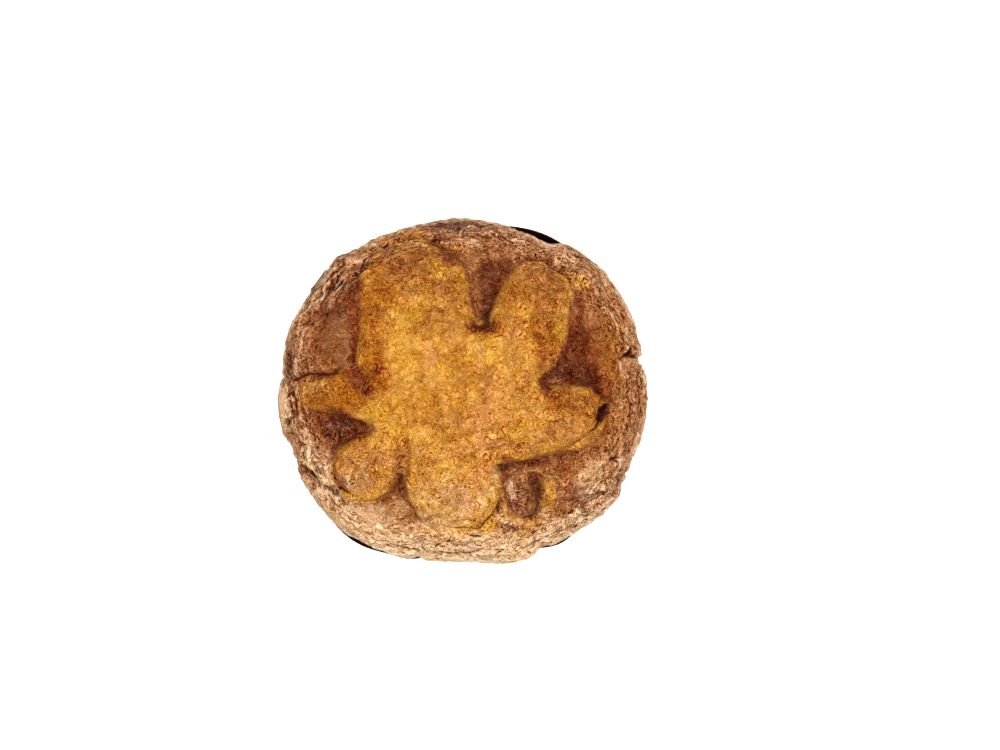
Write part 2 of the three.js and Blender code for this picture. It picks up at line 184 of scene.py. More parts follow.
# Cracks and folds: points of a smooth line, half width and depth of the furrow, depth of the slit in it.
FOLDS = (
    (((-29, -21), (-29.5, -34), (-31, -46), (-30, -56)), 2.9, 2.1, 0.4),
    (((-85, -32.6), (-81, -34.8), (-78, -37), (-75, -39.4), (-72, -43.8), (-69.5, -46.5), (-66, -47.8)),
     1.7, 2.2, 2.8),
    (((-63.4, -46.3), (-60.5, -47.3), (-58, -46.9), (-55, -48.8), (-50, -51)), 1.3, 1.4, 2.0),
    (((-16, -79), (-10, -79.7), (-4, -80.2), (1, -79.6), (6, -79), (11, -77.5)), 1.0, 0.6, 1.1),
    (((-33, -76.3), (-28, -77), (-24, -78), (-21, -79.2)), 1.0, 0.5, 1.0),
    (((-91, 7.5), (-84, 6.5), (-81, 7.6), (-76, 9), (-70, 8.6), (-65, 9), (-61.5, 11.4), (-58, 13.5)),
     1.5, 1.2, 2.0),
    (((76.6, 15.2), (79.6, 17.3), (82, 18.4), (84, 17.7), (86.2, 17.9), (88.4, 16.4), (88.3, 13.8)),
     0.9, 0.9, 2.6),
    (((83, 19), (83.1, 21.4), (83.3, 23.4)), 0.8, 0.6, 1.6),
    (((75, -42.5), (79, -42.2), (84, -40.5)), 1.4, 1.2, 1.0),
    (((72.5, -34.8), (75, -33.3), (77.5, -31.8)), 1.2, 1.0, 2.0),
    (((67, -46), (70, -43.5), (73.5, -41)), 1.2, 0.8, 1.0),
    (((-51.4, 57), (-50, 64), (-46.8, 68), (-42.4, 70.6)), 1.2, 1.0, 1.2),
    (((-41.4, 69.2), (-38.5, 71.8), (-34.5, 73.3), (-31, 73.9), (-27, 73.6)), 1.3, 1.3, 2.6),
    (((-24.5, 74.2), (-18.5, 73.9), (-14.5, 72.6), (-10.5, 70.8), (-6.6, 67.4)), 1.1, 0.9, 1.5),
    (((-15.8, 75.2), (-12, 73.8), (-9, 71.4), (-6, 69.6), (-3, 68)), 0.9, 0.7, 0.9),
    (((-61.6, -37.6), (-61.4, -40.6), (-61, -43.8)), 0.8, 0.6, 1.4),
    (((29.5, 65.3), (34, 66), (39, 65.4), (42.5, 62.6), (46, 60), (52.5, 58.6)), 1.4, 1.0, 1.8),
    (((13.6, 40), (15, 46), (17.6, 52), (20.2, 57)), 0.9, 0.5, 0.4),
    (((-31, 36), (-23, 38.4), (-14, 38), (-7, 40), (-1, 38)), 0.9, 0.5, 0.25),
    (((3, 37), (6, 34.5), (9.5, 32), (14, 31.5), (16.5, 34)), 1.5, 0.9, 0.8),
    (((66.5, -13), (65.5, -15.5), (63.5, -17.6), (60.5, -19.5)), 1.2, 1.1, 2.2),
    (((61, -20), (58, -22), (54, -25), (49, -27)), 1.4, 0.8, 0.7),
    (((5.5, -66.8), (9, -67), (10.6, -64.8), (13, -62), (16, -58), (18, -53)), 1.2, 0.8, 1.3),
    (((3, -70.4), (6, -70.4), (10.3, -70.9)), 1.0, 0.5, 1.4),
    (((-9, -66), (-2, -66.3), (5, -65.6)), 1.1, 0.4, 0.7),
    (((-9, -73), (-4, -75), (1, -75.4), (6, -73.6)), 1.3, 0.6, 0.6),
    (((17.3, -54), (17.6, -57.5), (18.3, -61)), 1.0, 0.6, 1.2),
    (((33, -40), (37.4, -43.5), (38.3, -51), (37.8, -57.5), (35, -61), (31, -62.6)), 1.9, 1.3, 0.4),
    (((22, -43.5), (21.3, -48), (22.8, -53), (25.6, -57.6), (28.8, -61.6)), 1.1, 1.0, 0.9),
    (((28, -61.8), (31.5, -62.9), (35, -61.8), (37.2, -58.4), (37.8, -54)), 1.2, 1.2, 1.8),
    (((18, -36.5), (24, -35.8), (30, -34.4), (38, -32.4), (46, -30.3), (54, -28.5), (62, -26.4)),
     1.7, 1.3, 0.3),
    (((23, -66), (26, -68), (28.5, -70.4)), 1.2, 0.6, 1.0),
    (((19, -66), (23, -65), (26, -63.8)), 1.0, 0.5, 0.8),
    (((28, -77.5), (34, -75.8), (38, -74), (42, -71.4)), 1.3, 0.9, 1.0),
    (((-55, -52), (-48, -53.2), (-41, -52.4), (-36, -50)), 1.4, 0.8, 0.4),
    (((-28, -51), (-24, -56), (-22, -61), (-17, -65.5), (-11, -69.5)), 1.5, 1.0, 0.4),
    (((-77, 46.5), (-73, 51), (-69, 56), (-65.5, 60)), 1.1, 1.2, 1.2),
    (((-71, 50), (-66, 55.5), (-61, 60.5), (-57, 62.5)), 0.9, 0.9, 0.9),
    (((-88, 18), (-84, 30), (-79, 39), (-72, 45)), 1.2, 0.8, 0.3),
    (((-64, 67), (-60, 68.5), (-55, 69)), 1.2, 0.9, 1.0),
    (((64, 64.5), (66.5, 62), (68.5, 60.6)), 1.1, 0.9, 1.4),
    (((0.5, 76), (1, 79.5), (3, 81.4)), 1.1, 0.7, 0.9),
    (((8.3, 81.5), (9.5, 83), (12, 83.6)), 1.2, 0.8, 1.0),
    (((14.5, 77.3), (17, 76.2), (20, 76.6)), 1.1, 0.6, 0.8),
    (((-86.5, 2), (-84.6, -5), (-83, -12)), 1.0, 0.9, 0.9),
    (((-83.5, 2), (-82, -5), (-80.6, -11)), 0.9, 0.7, 0.8),
    (((-87, -18), (-86, -14.5), (-83.6, -12.6)), 1.2, 0.9, 1.5),
    (((75, 50), (70, 46), (65, 43), (60, 41)), 1.4, 0.5, 0.2),
    (((70, 56), (64, 52), (59, 49)), 1.4, 0.5, 0.2),
)
# Pale raised creases: points of a smooth line, half width and height.
RIDGES = (
    (((-82, 18), (-80.5, 30), (-78, 38), (-73, 43.5), (-69, 47.5), (-67.5, 52), (-63, 57), (-59, 59)),
     0.65, 0.9),
    (((-86, 20), (-83, 33), (-78, 42)), 0.65, 0.6),
    (((-76, 38.5), (-73, 42), (-70.5, 44.5)), 0.43, 0.52),
    (((-73, 51), (-68, 54.6), (-63, 59.6), (-57, 63.5)), 0.65, 0.9),
    (((-50, 60), (-47.5, 65), (-43, 68.5)), 0.5, 0.6),
    (((-84.5, -31), (-78, -35), (-73, -40), (-67, -45.5)), 1.8, 1.12),
    (((-62, -49), (-57.5, -54), (-54, -59.5), (-52, -64)), 0.65, 0.68),
    (((-64, -51), (-60, -56), (-57, -61)), 0.58, 0.6),
    (((-88.5, -17), (-85, -13.5), (-82, -10)), 0.5, 0.68),
    (((-87.6, 0), (-86, -8), (-84, -14), (-80, -22), (-76, -31)), 0.72, 0.75),
    (((-78, -16), (-75, -22), (-72, -28), (-70, -33)), 0.65, 0.6),
    (((-1.5, 73), (-0.5, 78), (3.5, 81.5), (9, 81.5), (14, 80)), 0.65, 0.75),
    (((9, 75.5), (13, 78), (18, 79), (24, 77.5), (32, 74)), 0.58, 0.6),
    (((20, 80), (28, 78), (36, 75.5), (44, 73)), 0.65, 0.6),
    (((-15, 75.5), (-10, 74), (-6, 71)), 0.43, 0.45),
    (((55, -46.5), (60, -42.5), (65, -37.5), (67.5, -32.5)), 2.2, 0.75),
    (((21.8, -42.6), (21.2, -47.4), (23.4, -53.6), (26.4, -58)), 0.7, 0.8),
    (((29, -39.6), (33, -38.7), (38, -39), (41.5, -40.6), (46, -41), (49, -44), (50, -48)), 0.65, 0.98),
    (((40.5, -42), (40.8, -50), (41.5, -58)), 0.65, 0.6),
    (((58, -61), (64, -58.6), (70, -55)), 0.86, 0.75),
    (((52, -66), (60, -63.5), (67, -60.5)), 0.65, 0.68),
    (((22, -75.5), (32, -73.5), (41, -69.5), (49, -64.5)), 0.72, 0.68),
    (((-30, -79.5), (-18, -81.8), (-4, -83), (12, -82)), 0.86, 0.68),
    (((-58, -68), (-48, -73), (-36, -77.5)), 0.86, 0.75),
    (((-52, -65), (-42, -70.5), (-32, -74.5), (-22, -77)), 0.65, 0.6),
    (((76.8, 16.2), (77.8, 12.5), (78.5, 9)), 0.6, 0.5),
    (((79.8, 18.8), (81.2, 21.6), (83.2, 24.4)), 0.6, 0.7),
    (((84.4, 19.6), (86.6, 19.8), (89, 18.2)), 0.55, 0.7),
    (((85, 16), (86.4, 15.2), (86.8, 13.4)), 0.55, 0.6),
    (((65.6, -6.4), (69, -5.4), (73, -5.2)), 0.55, 0.6),
    (((-81.2, 5.4), (-81, 0.6), (-80.4, -5)), 0.95, 0.8),
    (((-62.4, -37.4), (-62.3, -40.6), (-62.2, -44)), 0.5, 0.7),
    (((80, 44), (83, 36), (86, 28)), 0.65, 0.52),
    (((73, 52), (78, 46), (80.5, 42)), 0.58, 0.52),
)
# Stretches of smooth dark skin between the lobes: corners of each, and how strong it is.
SKINS = (
    (0.82, ((7, 58), (9.5, 46), (11.5, 33.5), (14, 36), (18, 47), (24, 60), (27, 64), (20, 66), (10, 65))),
    (0.65, ((40, 4), (44.5, 12.5), (51, 20), (56.5, 32), (58, 47), (60, 45), (62, 32), (65, 16), (70, 3),
            (66, 0), (58, 4), (48, 6))),
    (0.42, ((-53, 44), (-52, 18), (-60, 11), (-70, 14), (-74, 25), (-72, 36), (-66, 44), (-58, 48))),
    (0.65, ((-76, -10.5), (-68, -10), (-62, -12.5), (-57, -12), (-53, -14), (-46.5, -17), (-48.5, -21.5),
            (-53, -23.5), (-59, -25), (-63, -28), (-66.5, -33), (-69, -25), (-73, -17))),
    (0.9, ((17, -34.6), (24, -34.6), (33, -33.8), (45, -31), (61, -26.5), (54, -30), (45, -33.6),
           (36, -36.4), (29, -37.2), (23.5, -38.8), (22, -43), (21, -48), (20, -48), (19.8, -42),
           (18.6, -38))),
    (0.25, ((-28, -34), (-31.5, -41), (-35, -50), (-41, -54), (-35, -57), (-27, -53), (-27.5, -44))),
    (0.4, ((21, -44), (26, -40.5), (33, -42), (36, -50), (37, -58), (33, -62), (27, -60), (21, -52))),
)
FOLD_STEPS = 40
SLIT_WIDTH = 0.6  # half width of the slit at the bottom of a fold
CALM_HUB = (-8, 8, 34, 32)  # the oval where the grain is faintest
DEEPEST = "160602"  # no fleck is darker
MOTTLING = 1.35  # how ragged the edges of the tones are
GRAIN_GAIN = 2.45  # how far the grain lightens and darkens the crust
WARP_SIZE = 8  # size in mm of the curls that the grain is bent into
WARP_REACH = 17  # and how far it is bent
LOBE_BLEND = 4  # how softly two lobes run together
LOBE_SHOULDER = 9.5  # how far in from its edge a lobe goes on rising
EDGE_FURROW = 1.7  # depth of the furrow along the foot of each lobe
FURROW_REACH = 5.5
SLUMPS = (  # where the wrinkles at the rim are strongest: angle, spread, strength
    (140, 22, 0.9),
    (182, 18, 0.7),
    (215, 20, 0.9),
    (262, 28, 0.25),
    (318, 25, 0.7),
    (20, 20, 0.5),
    (85, 20, 0.4),
)
SECTORS = 6  # each ring of the crown has this many points more than the one inside it
BODY_SHARES = (0.96, 0.88, 0.7, 0.4)  # levels of the body inside the case, as shares of its height

# Where the crust took which tone, again as ovals.
TONES = {
    "gold": (  # besides the lobes
        (-5, -68, 22, 7, 0.8), (20, -46, 4, 9, 0.8), (43, -50, 3, 10, 0.6, 6), (23, -62, 7, 4, 0.9, -20),
        (20, -55, 2, 6, 0.6), (-30, 77, 16, 4, 0.7, 10), (52.5, 56.5, 3.4, 3, 0.8), (-50, -53, 8, 4, 0.7),
        (-56, -50, 8, 3, 0.7, -20), (-63, -41, 5, 6, 0.6, -40), (68, 20, 8, 14, 0.3),
    ),
    "bronze": (  # browned tops of the lobes
        (-22, 62, 16, 10, 0.9), (-38, 66, 8, 8, 0.9), (-30, 50, 17, 8, 0.5), (-10, 65, 6, 7, 0.7, -20),
        (-57, -45, 3, 3, 0.7), (-40.5, 60.2, 7, 6, 0.7), (77, 13, 3, 7, 0.5), (81.3, -39.8, 4, 5.6, 0.62),
        (45, -15, 5, 4, 0.5), (-8, 50, 6, 8, 0.7), (36, 56, 12, 10, 0.7), (40, 45, 12, 12, 0.8),
        (38, 28, 8, 11, 0.65, 20), (23, 46, 7, 8, 0.7), (54, -14, 11, 11, 0.4), (62, -6, 8, 6, 0.6),
        (44, -20, 8, 4, 0.7), (-12, 36, 7, 4, 0.5), (0, 44.4, 7, 9.4, 0.64, 18), (27, -2, 5, 4, 0.4),
        (28, -26, 10, 5, 0.5), (-6, -12, 8, 6, 0.4), (-47, -38, 15, 14, 0.3), (-70, -1, 15, 9, 0.9),
        (-52, 10, 10, 6, 0.6), (-66, -8, 14, 4, 0.9, -8), (75, 18, 7, 18, 0.95, 10), (78, -11, 5, 6, 0.6),
        (48, -4, 8, 6, 0.7), (13, 8, 6, 6, 0.5), (70, -18, 8, 7, 0.7), (72, 40, 8, 12, 0.3, 20),
        (-10, 78, 14, 3, 0.5), (2, -40, 8, 18, 0.2), (-28, -28, 6, 5, 0.5), (-20, 30, 5, 5, 0.4),
        (40, 31, 5, 6, 0.2), (-1, -13, 5, 4, 0.4), (23, 29, 5, 5, 0.7), (-56, -62.5, 4.6, 4, 0.68),
        (-5, 63, 4, 5, 0.7), (-50, -66, 5, 3, 0.95, -40), (-45, 40, 4, 8, 0.8), (-72, -52, 4, 6, 0.8, -30),
        (11, -1, 4, 4, 0.7), (-6, 29, 5, 5, 0.5), (-35, 40, 5, 6, 0.5), (9, -11, 4, 4, 0.5),
        (86, 31, 3, 6, 0.6), (5, -77, 6, 2.5, 0.4), (-36, 9, 4, 4, 0.5), (-9, -14, 5, 4, 0.5),
        (46, 16, 4, 6, 0.4), (-52, -44, 8, 6, 0.3), (-40, -30, 5, 5, 0.4), (0, 11, 6, 5, 0.4),
        (-4, -50, 8, 7, 0.35), (58, 18, 12, 12, 0.5), (72, 24, 6, 8, 0.6), (54, -44, 6, 6, 0.95),
        (66, -58, 6, 4, 0.5, -30), (-44, -59, 6, 4, 0.8), (50, -57, 6, 5, 0.7),
    ),
    "rosy": (  # pinker, floury dough
        (11, -16, 6, 16, 0.7), (12, 20, 6, 4, 0.4), (12, -38, 5, 10, 0.6), (21, -28, 7, 5, 0.5),
        (-38, -32, 7, 5, 0.6), (14, 2, 7, 5, 0.7), (-28, -44, 3, 8, 0.3), (-10, -36, 8, 10, 0.3),
        (18, -50, 2.4, 9, 0.5), (38, 2, 3, 3, 0.3),
    ),
    "amber": (  # saturated orange slopes
        (-49, 66, 3, 4, 0.2, -30), (-42, 34, 4, 6, 0.95), (-53, -1, 5, 4, 0.8), (-50, -16, 5, 4, 0.5, -20),
        (-66, -10, 9, 3, 0.6, -6), (20, -31, 6, 2.5, 0.5), (-48, -22, 5, 4, 0.8, -30),
        (58, 12, 10, 8, 0.4, -16), (58, -36, 2, 2, 0.6), (-43.5, 26, 8, 23, 0.95), (-39, 6, 6, 9, 0.95),
        (-42, 61, 5, 6, 0.7), (-57, -5, 8, 3, 0.9, -6), (18, 29, 6, 4, 0.6), (-22, -8, 9, 7, 0.4),
        (-45, 57, 7, 12, 0.9), (-45, 40, 4, 8, 0.7), (-36, 45, 9, 7, 0.8), (-62, -3, 16, 7, 0.7),
        (-56, 6, 9, 5, 0.8), (-60, -36, 4, 8, 0.8), (-46, -5, 5, 4, 0.6), (27, 42, 10, 12, 0.5),
        (40, 20, 6, 10, 0.7), (44, -4, 9, 6, 0.6), (-27, 76.5, 9, 2.4, 0.85, 8),
        (67, -4, 5, 2.5, 0.95, -30), (-13, 63, 5, 6, 0.4), (34, 26, 4, 7, 0.7), (9, 28, 5, 3, 0.7),
        (-22, -10, 40, 30, 0.12), (70, 15, 8, 14, 0.35),
    ),
    "honey": (  # brightest, least baked dough
        (-30, 26, 6, 14, 0.6), (-41, -12, 8, 7, 0.8), (8, 25, 9, 4, 0.5), (-46, 52, 2.5, 5, 0.6),
        (33, 24, 2.5, 4, 0.4), (-7, -37, 7, 6, 0.8), (12, -69, 5, 4, 0.6), (10.5, 19, 7.4, 6, 1.0),
        (22, -20, 6, 4, 0.4), (-37, -20, 8, 4, 0.5), (0, 50, 4, 7, 0.5), (21, 50, 3, 5, 0.4),
        (-20, 41, 5, 4, 0.4), (-10, 10, 5, 5, 0.5), (-30, -9, 5, 4, 0.5), (-20, -20, 5, 5, 0.5),
        (31, -21, 5, 4, 0.4), (10, -30, 4, 4, 0.4), (30, 38, 4, 4, 0.4), (52, 30, 1.6, 8, 0.3, -10),
        (35, 5, 4, 4, 0.8), (-34, -5, 6, 5, 0.5), (-65, -43.2, 3.6, 4, 0.95), (16.2, -43, 3.1, 5, 1.0),
        (27, -18, 4, 4, 0.5), (-23.5, 35.5, 5, 5, 0.75), (-8, -56, 6, 5, 0.8), (12.6, -48.6, 4, 7, 0.65),
        (70, -17, 4, 3, 0.5), (48, 64, 5, 2.5, 0.5, -26), (41.4, -48.6, 2.3, 7.4, 0.63, 7),
        (-24, 17, 6, 6, 0.5), (-3, 57, 2.4, 3, 0.5), (-12, 57, 4, 4, 0.5), (-30, -15, 7, 8, 0.4),
        (19, -62, 3, 3, 0.6), (13.5, -64.5, 3.6, 4, 1.0), (47, 30, 4, 5, 0.6), (-8, 56, 4, 4, 0.5),
        (30, -71, 5, 3, 0.9), (35, -65, 4, 3, 0.5), (22.5, -63, 4, 3, 0.5), (50, 55, 5, 4, 0.6, -30),
        (58, 54, 4, 3, 0.5), (-15, -52.6, 4.8, 5, 0.72), (36, 2, 3, 4, 0.4), (-44, 52, 3, 4, 0.5),
        (60, 51, 3, 4, 0.5), (-6, 70, 4, 3, 0.5), (41, -56, 3, 3, 0.5), (-16, -2, 4, 4, 0.4),
        (-3, -67, 8, 3, 0.4), (56, 55, 5, 3, 0.4, -40), (-18, -28, 6, 6, 0.4), (48, -2, 3, 1.5, 0.4, -20),
        (-40, 67, 3, 1.4, 0.7), (-75, 2, 5, 3, 0.4), (-68, 4, 3, 3, 0.4), (14, -52, 4, 10, 0.7),
        (-18, -50, 5, 12, 0.3), (50, 40, 3, 12, 0.25), (-48, 20, 3, 9, 0.3), (2, -66, 14, 4, 0.3),
        (-40, -36, 6, 6, 0.2),
    ),
    "umber_and_shade": (  # red-brown, and painted shade along the lobes' feet, in hollows and folds
        (-49, 5.2, 8.5, 4.4, 0.95, -38), (-36, 9, 4, 4, 0.3), (-42, 34, 4, 6, 0.35),
        (-4.7, 62, 3.8, 3.8, 0.6), (-40, 9, 4, 5, 0.55), (-50, 48, 3, 8, 0.7), (-58, 46, 5, 8, 0.55, 20),
        (-50, 40, 3, 6, 0.3), (-62, -11, 8, 3, 0.4, -6), (36.6, -49, 1.8, 9, 0.85, 8), (43, -41, 5, 3, 0.5),
        (-53, 9, 5, 3, 0.6, -35), (-50.7, -17.4, 5.2, 4.5, 0.95, -26), (-58, -13, 6, 4, 0.7, -16),
        (-71.8, -12, 7, 4, 0.82, -9), (-68, -19, 6, 5, 0.3), (-61, -9.5, 8, 3, 0.4, -6),
        (10, 31, 8, 4, 0.9), (41, 3, 3.4, 6, 0.9), (60, 11, 13, 9, 0.5, -20), (58, 26, 8, 14, 0.4),
        (57.6, 36, 2.2, 16, 0.8, -8), (58, 14, 10, 8, 0.4, -16), (51, 22, 3, 8, 0.6, -28),
        (70, 2, 8, 5, 0.5, -20), (66, -11.5, 4, 4, 0.95), (-28, 59, 4, 4, 0.6), (-57, -42, 3, 3, 0.6),
        (21, -32, 4.4, 3, 0.56), (25, 44, 4, 4, 0.3), (-16, 84, 5, 3, 0.3), (34, -42, 3.5, 2.5, 0.4, -20),
        (50, -37, 4.5, 3.5, 0.7), (-52.5, 46, 2.5, 12, 0.8), (-53, 28, 2.2, 16, 0.85),
        (-40, 40, 6, 4, 0.4, -20), (-40, 20, 2, 14, 0.3), (-62, 42, 8, 5, 0.6), (-30, -38, 2, 12, 0.45),
        (-8, 65, 6, 3.6, 0.5), (-52, -35, 1.4, 8, 0.4), (30, -36, 9, 2.5, 0.5, 6), (47, -4, 6, 4, 0.4),
        (24, -67, 4, 2.5, 0.8, -15), (40, 17, 4, 8, 0.5), (64, 24, 6, 10, 0.4, 10), (-60.5, -42, 2, 2, 1.0),
        (-57, -44, 3.4, 3.4, 0.9), (20.8, -46, 1.2, 6, 0.7, 5), (52.5, -45, 3, 4, 0.8),
        (52, 23, 3.4, 6, 0.5, -20), (38, 47, 6, 6, 0.3), (-52, 36, 3, 6, 0.5), (44, 11, 4, 4, 0.6),
        (-45, -1, 3, 3, 0.5), (36, 26, 2, 3, 0.7),
    ),
    "dusk": (  # darker skin, besides the stretches of it between the lobes
        (-57, 50, 5, 6, 0.6, 20), (-68, 40, 5, 5, 0.6), (-22, -62, 7, 3, 0.4, -40),
        (-63.3, 53, 4.2, 3.2, 0.8, 30), (49, 10, 8, 5, 0.7, 20), (-89, 18, 2.6, 9, 0.95, -4),
        (-73, 36, 4, 6, 0.4, -30), (-83, 11, 4, 5, 0.95), (-6, 63, 4, 4, 0.4), (46, 76, 6, 3, 0.7, -26),
        (-71, -51, 3, 4, 0.3), (65, 64, 5, 3, 0.6, -40), (-14, 85, 8, 3, 0.8), (27, -53, 3, 4, 0.35),
        (69, 24, 6, 9, 0.5), (80, -44, 4, 4, 0.9), (-10, 86, 13, 4, 0.5), (28, -50, 7, 10, 0.35, 10),
        (-62, 35, 8, 12, 0.2), (0, 78, 12, 3, 0.4), (76, 13, 5, 7, 0.35), (82, 1, 4, 6, 0.3),
        (-47, -79, 7, 3, 0.35, -30), (-3, 83, 20, 4, 0.45), (10, 71, 12, 5, 0.35),
        (-75, -40.5, 4, 2.6, 0.8, -48), (58, -53, 10, 5, 0.45, 40), (-63, -18, 8, 5, 0.6, -14),
        (-71, -13, 5, 4, 0.5, -10), (-77, 48, 4, 6, 0.95, -20), (-59, 68.5, 5, 4, 1.0, 30),
        (86, 31, 3, 5, 0.5), (52, -44, 4, 4, 0.5), (-57, -63, 3, 3, 0.4),
    ),
    "plum": (  # old skin with a purple cast
        (-62, -18, 8, 5, 0.3, -14), (-64, 27, 10, 18, 0.2, 8), (26, -48, 5, 7, 0.3, 10),
        (-89, 18, 2.6, 9, 0.8, -4), (-3, 82, 22, 4, 0.4), (14, 54, 5, 10, 0.25), (60, -50, 14, 10, 0.3, 35),
        (37, -47, 3, 7, 0.3), (-48, 76, 8, 2, 0.5, 30), (-75.5, 48.5, 3, 4, 0.9), (-57, 69, 3, 3, 0.6),
        (-72, -52, 3, 4, 0.4),
    ),
    "straw": (  # palest crust, towards the rim
        (-8, -86, 62, 8, 1.0), (-4, -79, 36, 6, 0.7), (29.2, -79.6, 12.4, 4.8, 0.93, 3),
        (-36, -73, 19, 8, 0.8, -24), (15, -73, 20, 5, 0.6), (44, -69, 12, 6, 0.6, 30),
        (-60, -60, 16, 7, 0.6, -40), (-74, -52, 6, 12, 0.3, 36), (14, -46, 3.6, 6, 0.4),
        (23, -62.5, 4, 2.6, 0.4), (68, -50, 6, 8, 0.2, -30), (-8, -54, 15, 18, 0.4),
        (-50, -40, 10, 8, 0.28), (-90, -3, 3.5, 9, 0.7), (-88, -5, 3, 8, 0.5), (-88, -13, 3, 7, 0.5),
        (-85, -15, 4, 4, 0.5), (-87, -15, 3, 4, 0.4),
        (-65, 65, 4, 3, 0.3, 30), (-45, 73, 6, 2, 0.5, 24), (78, -36, 5, 6, 0.2), (87, 26, 3, 8, 0.15),
        (-63, -67, 6, 3.6, 0.45, -40), (-38, -79, 8, 4, 0.8, -20), (-38, -77, 5, 4, 0.5),
        (-40, -79, 10, 3, 0.7, -22), (-38, -80, 8, 4, 0.6, -16), (24.5, -47, 3, 4.5, 0.55, 10),
        (83, 13, 5, 6, 0.3), (-54, 64, 4, 3, 0.3), (82, 27, 3, 5, 0.3), (-64, -47, 3, 3, 0.6),
        (-75, -32, 3, 4, 0.7), (-60, -53, 4, 3, 0.4), (8, 19, 4, 4, 0.35), (30, -72, 5, 3, 0.6),
        (-78, -46, 4, 4, 0.5), (-19, -29, 4, 4, 0.3), (48, 65, 4, 3, 0.4), (6, 73, 4, 3, 0.4),
        (17, -40, 3, 4, 0.4), (28, 73, 4, 4, 0.5), (-73.5, -35, 3, 3, 0.6), (-49, 66, 3, 4, 0.3, -30),
        (50, 69, 6, 3, 0.2, -30), (41, 73, 6, 3, 0.5, -26), (72, 57, 4, 5, 0.4, -30), (11, -50, 3, 9, 0.3),
        (20, -60, 3, 4, 0.4), (60, -60, 8, 4, 0.25, 34), (10, -71, 5, 3, 0.5), (75, -20, 7, 6, 0.2),
        (-72, -38, 4, 5, 0.3, -40), (0, -83, 12, 3, 0.6), (-67, -34, 4, 5, 0.3), (41, -60, 4, 4, 0.4),
        (25, -66, 4, 3, 0.3), (-68, -63, 6, 6, 0.5), (-80, -31, 4, 7, 0.35, 20), (87, -30, 4, 10, 0.5),
        (-45, -58, 12, 4, 0.5, -10), (-66, -42, 3, 6, 0.8, -20), (48, -75, 22, 4, 0.35, 36),
        (63, -39, 10, 5, 0.6, 38), (54, 66, 12, 5, 0.2, -36), (-72, -32, 4, 14, 0.45, 26),
        (-70, 52, 4, 14, 0.1, -38), (67, -44, 5, 4, 0.6), (-30, -58, 5, 6, 0.35), (-52, 73, 5, 4, 0.3, 30),
        (-78, 25, 3, 12, 0.25, -12), (-54, -43, 2.5, 3, 0.25), (-22, -68, 22, 5, 0.4, -12),
        (87, -28, 4, 16, 0.3), (58, -60, 8, 5, 0.25, 30),
    ),
    "flour_and_edge_light": (  # palest crust, besides the outermost edge that is paled as painted light
        (-8, -87, 60, 6, 0.95), (-89, 17, 2.5, 8, 0.5), (48, -75, 8, 3, 0.6, 34), (61, -50, 5, 4, 0.3),
        (-39, -79, 10.5, 3.8, 0.8, -21), (-53, -73, 8, 3, 0.6, -36), (60, -66, 12, 4, 0.6, 38),
        (57, -59, 4, 4, 0.4, 30), (-20, -76, 8, 4, 0.4, -8), (-22, -83, 10, 3, 0.5, -8),
        (73, -56, 4, 5, 0.5, -40), (91, 10, 3, 8, 0.5),
    ),
    "char": (  # darkest brown, mostly in the hollows and pockets as painted shade
        (-60, -17.5, 5, 3, 0.3, -14), (-49, -18, 3.5, 3, 0.3, -20), (-57, -15, 3, 2.4, 0.4, -30),
        (-47.5, 2.6, 5.5, 2.6, 0.4, -38), (5, -77, 6, 2.5, 0.25), (52, -44, 3, 4, 0.3),
        (-76, 48, 3.4, 4, 0.3, -20), (45, 12, 4, 4, 0.25), (51, 19, 3, 5, 0.25, -20), (12, 39, 2.6, 8, 0.6),
        (-59, 39, 4, 4, 0.35), (11, 32.5, 6, 1.6, 0.6), (42, 6, 3.5, 3, 0.45),
        (69.4, -10.6, 2.4, 5, 0.9, -45), (56, 10, 12, 6, 0.55, -16), (58, 24, 5, 10, 0.3),
        (-60, 40, 6, 4, 0.3), (23, -37, 6, 2, 0.5, 8), (37, -49, 1.5, 9, 0.4, 4), (-62, 52, 5, 2, 0.8, 30),
        (-84, 13, 2.2, 6, 0.5, -6), (-37.5, 70.4, 3, 1.2, 0.4), (-70, 47, 2.5, 1.6, 0.7, 50),
        (-30.5, -43, 1.4, 6, 0.35), (66, 0, 8, 1.6, 0.5, -32), (-73.5, 54.5, 10, 1.6, 0.55, 50),
        (-83, -38, 1.6, 3, 0.5, 25), (-74.5, -41.3, 3.2, 2, 0.5, -55), (-63.5, -49.6, 4, 1.8, 0.6, -28),
        (-83, -6, 2.4, 8, 0.4, 8),
    ),
    "flaky": (  # dry, flaking skin: not a colour, but grain that stands out more
        (28, -50, 6, 10, 1.0, 10), (-53, -43, 3.5, 3, 1.0), (24, -65, 8, 5, 0.7, -10), (-69, 2, 10, 6, 0.5),
        (60, -50, 14, 10, 0.5, 35), (-46, 62, 4, 9, 0.4, -20), (12, -66, 6, 6, 0.4),
        (-62, -20, 10, 5, 0.4, -14),
    ),
    "smooth": (  # tight skin of steadier colour, whose grain stands out less
        (-64, 28, 11, 18, 0.85, 8), (-82, 28, 5, 22, 0.3, 14), (62, 16, 12, 14, 0.6), (62, 36, 8, 14, 0.5),
        (17, 52, 9, 16, 0.6), (-4, -84, 50, 6, 0.5), (76, 0, 9, 34, 0.35), (-44, -64, 16, 9, 0.6, 30),
        (-62, -60, 9, 8, 0.5, -40), (-84, -24, 5, 16, 0.3, 16),
    ),
}

# The order in which the tones are laid on, and cloudy drifts below them: tone, size in mm, roughness and
# shift of the noise, where in it they begin and are full, their strength, and whether only gold takes them.
COATS = ("rosy", "bronze", "amber", "honey", "umber_and_shade", "dusk", "plum", "straw", "flour_and_edge_light", "char")
DRIFTS = (
    ("rosy", 9.0, 0.6, 40, 0.48, 0.6, 0.45, True),
    ("bronze", 8.0, 0.65, 90, 0.5, 0.64, 0.4, False),
    ("honey", 7.0, 0.6, 120, 0.5, 0.64, 0.45, True),
)


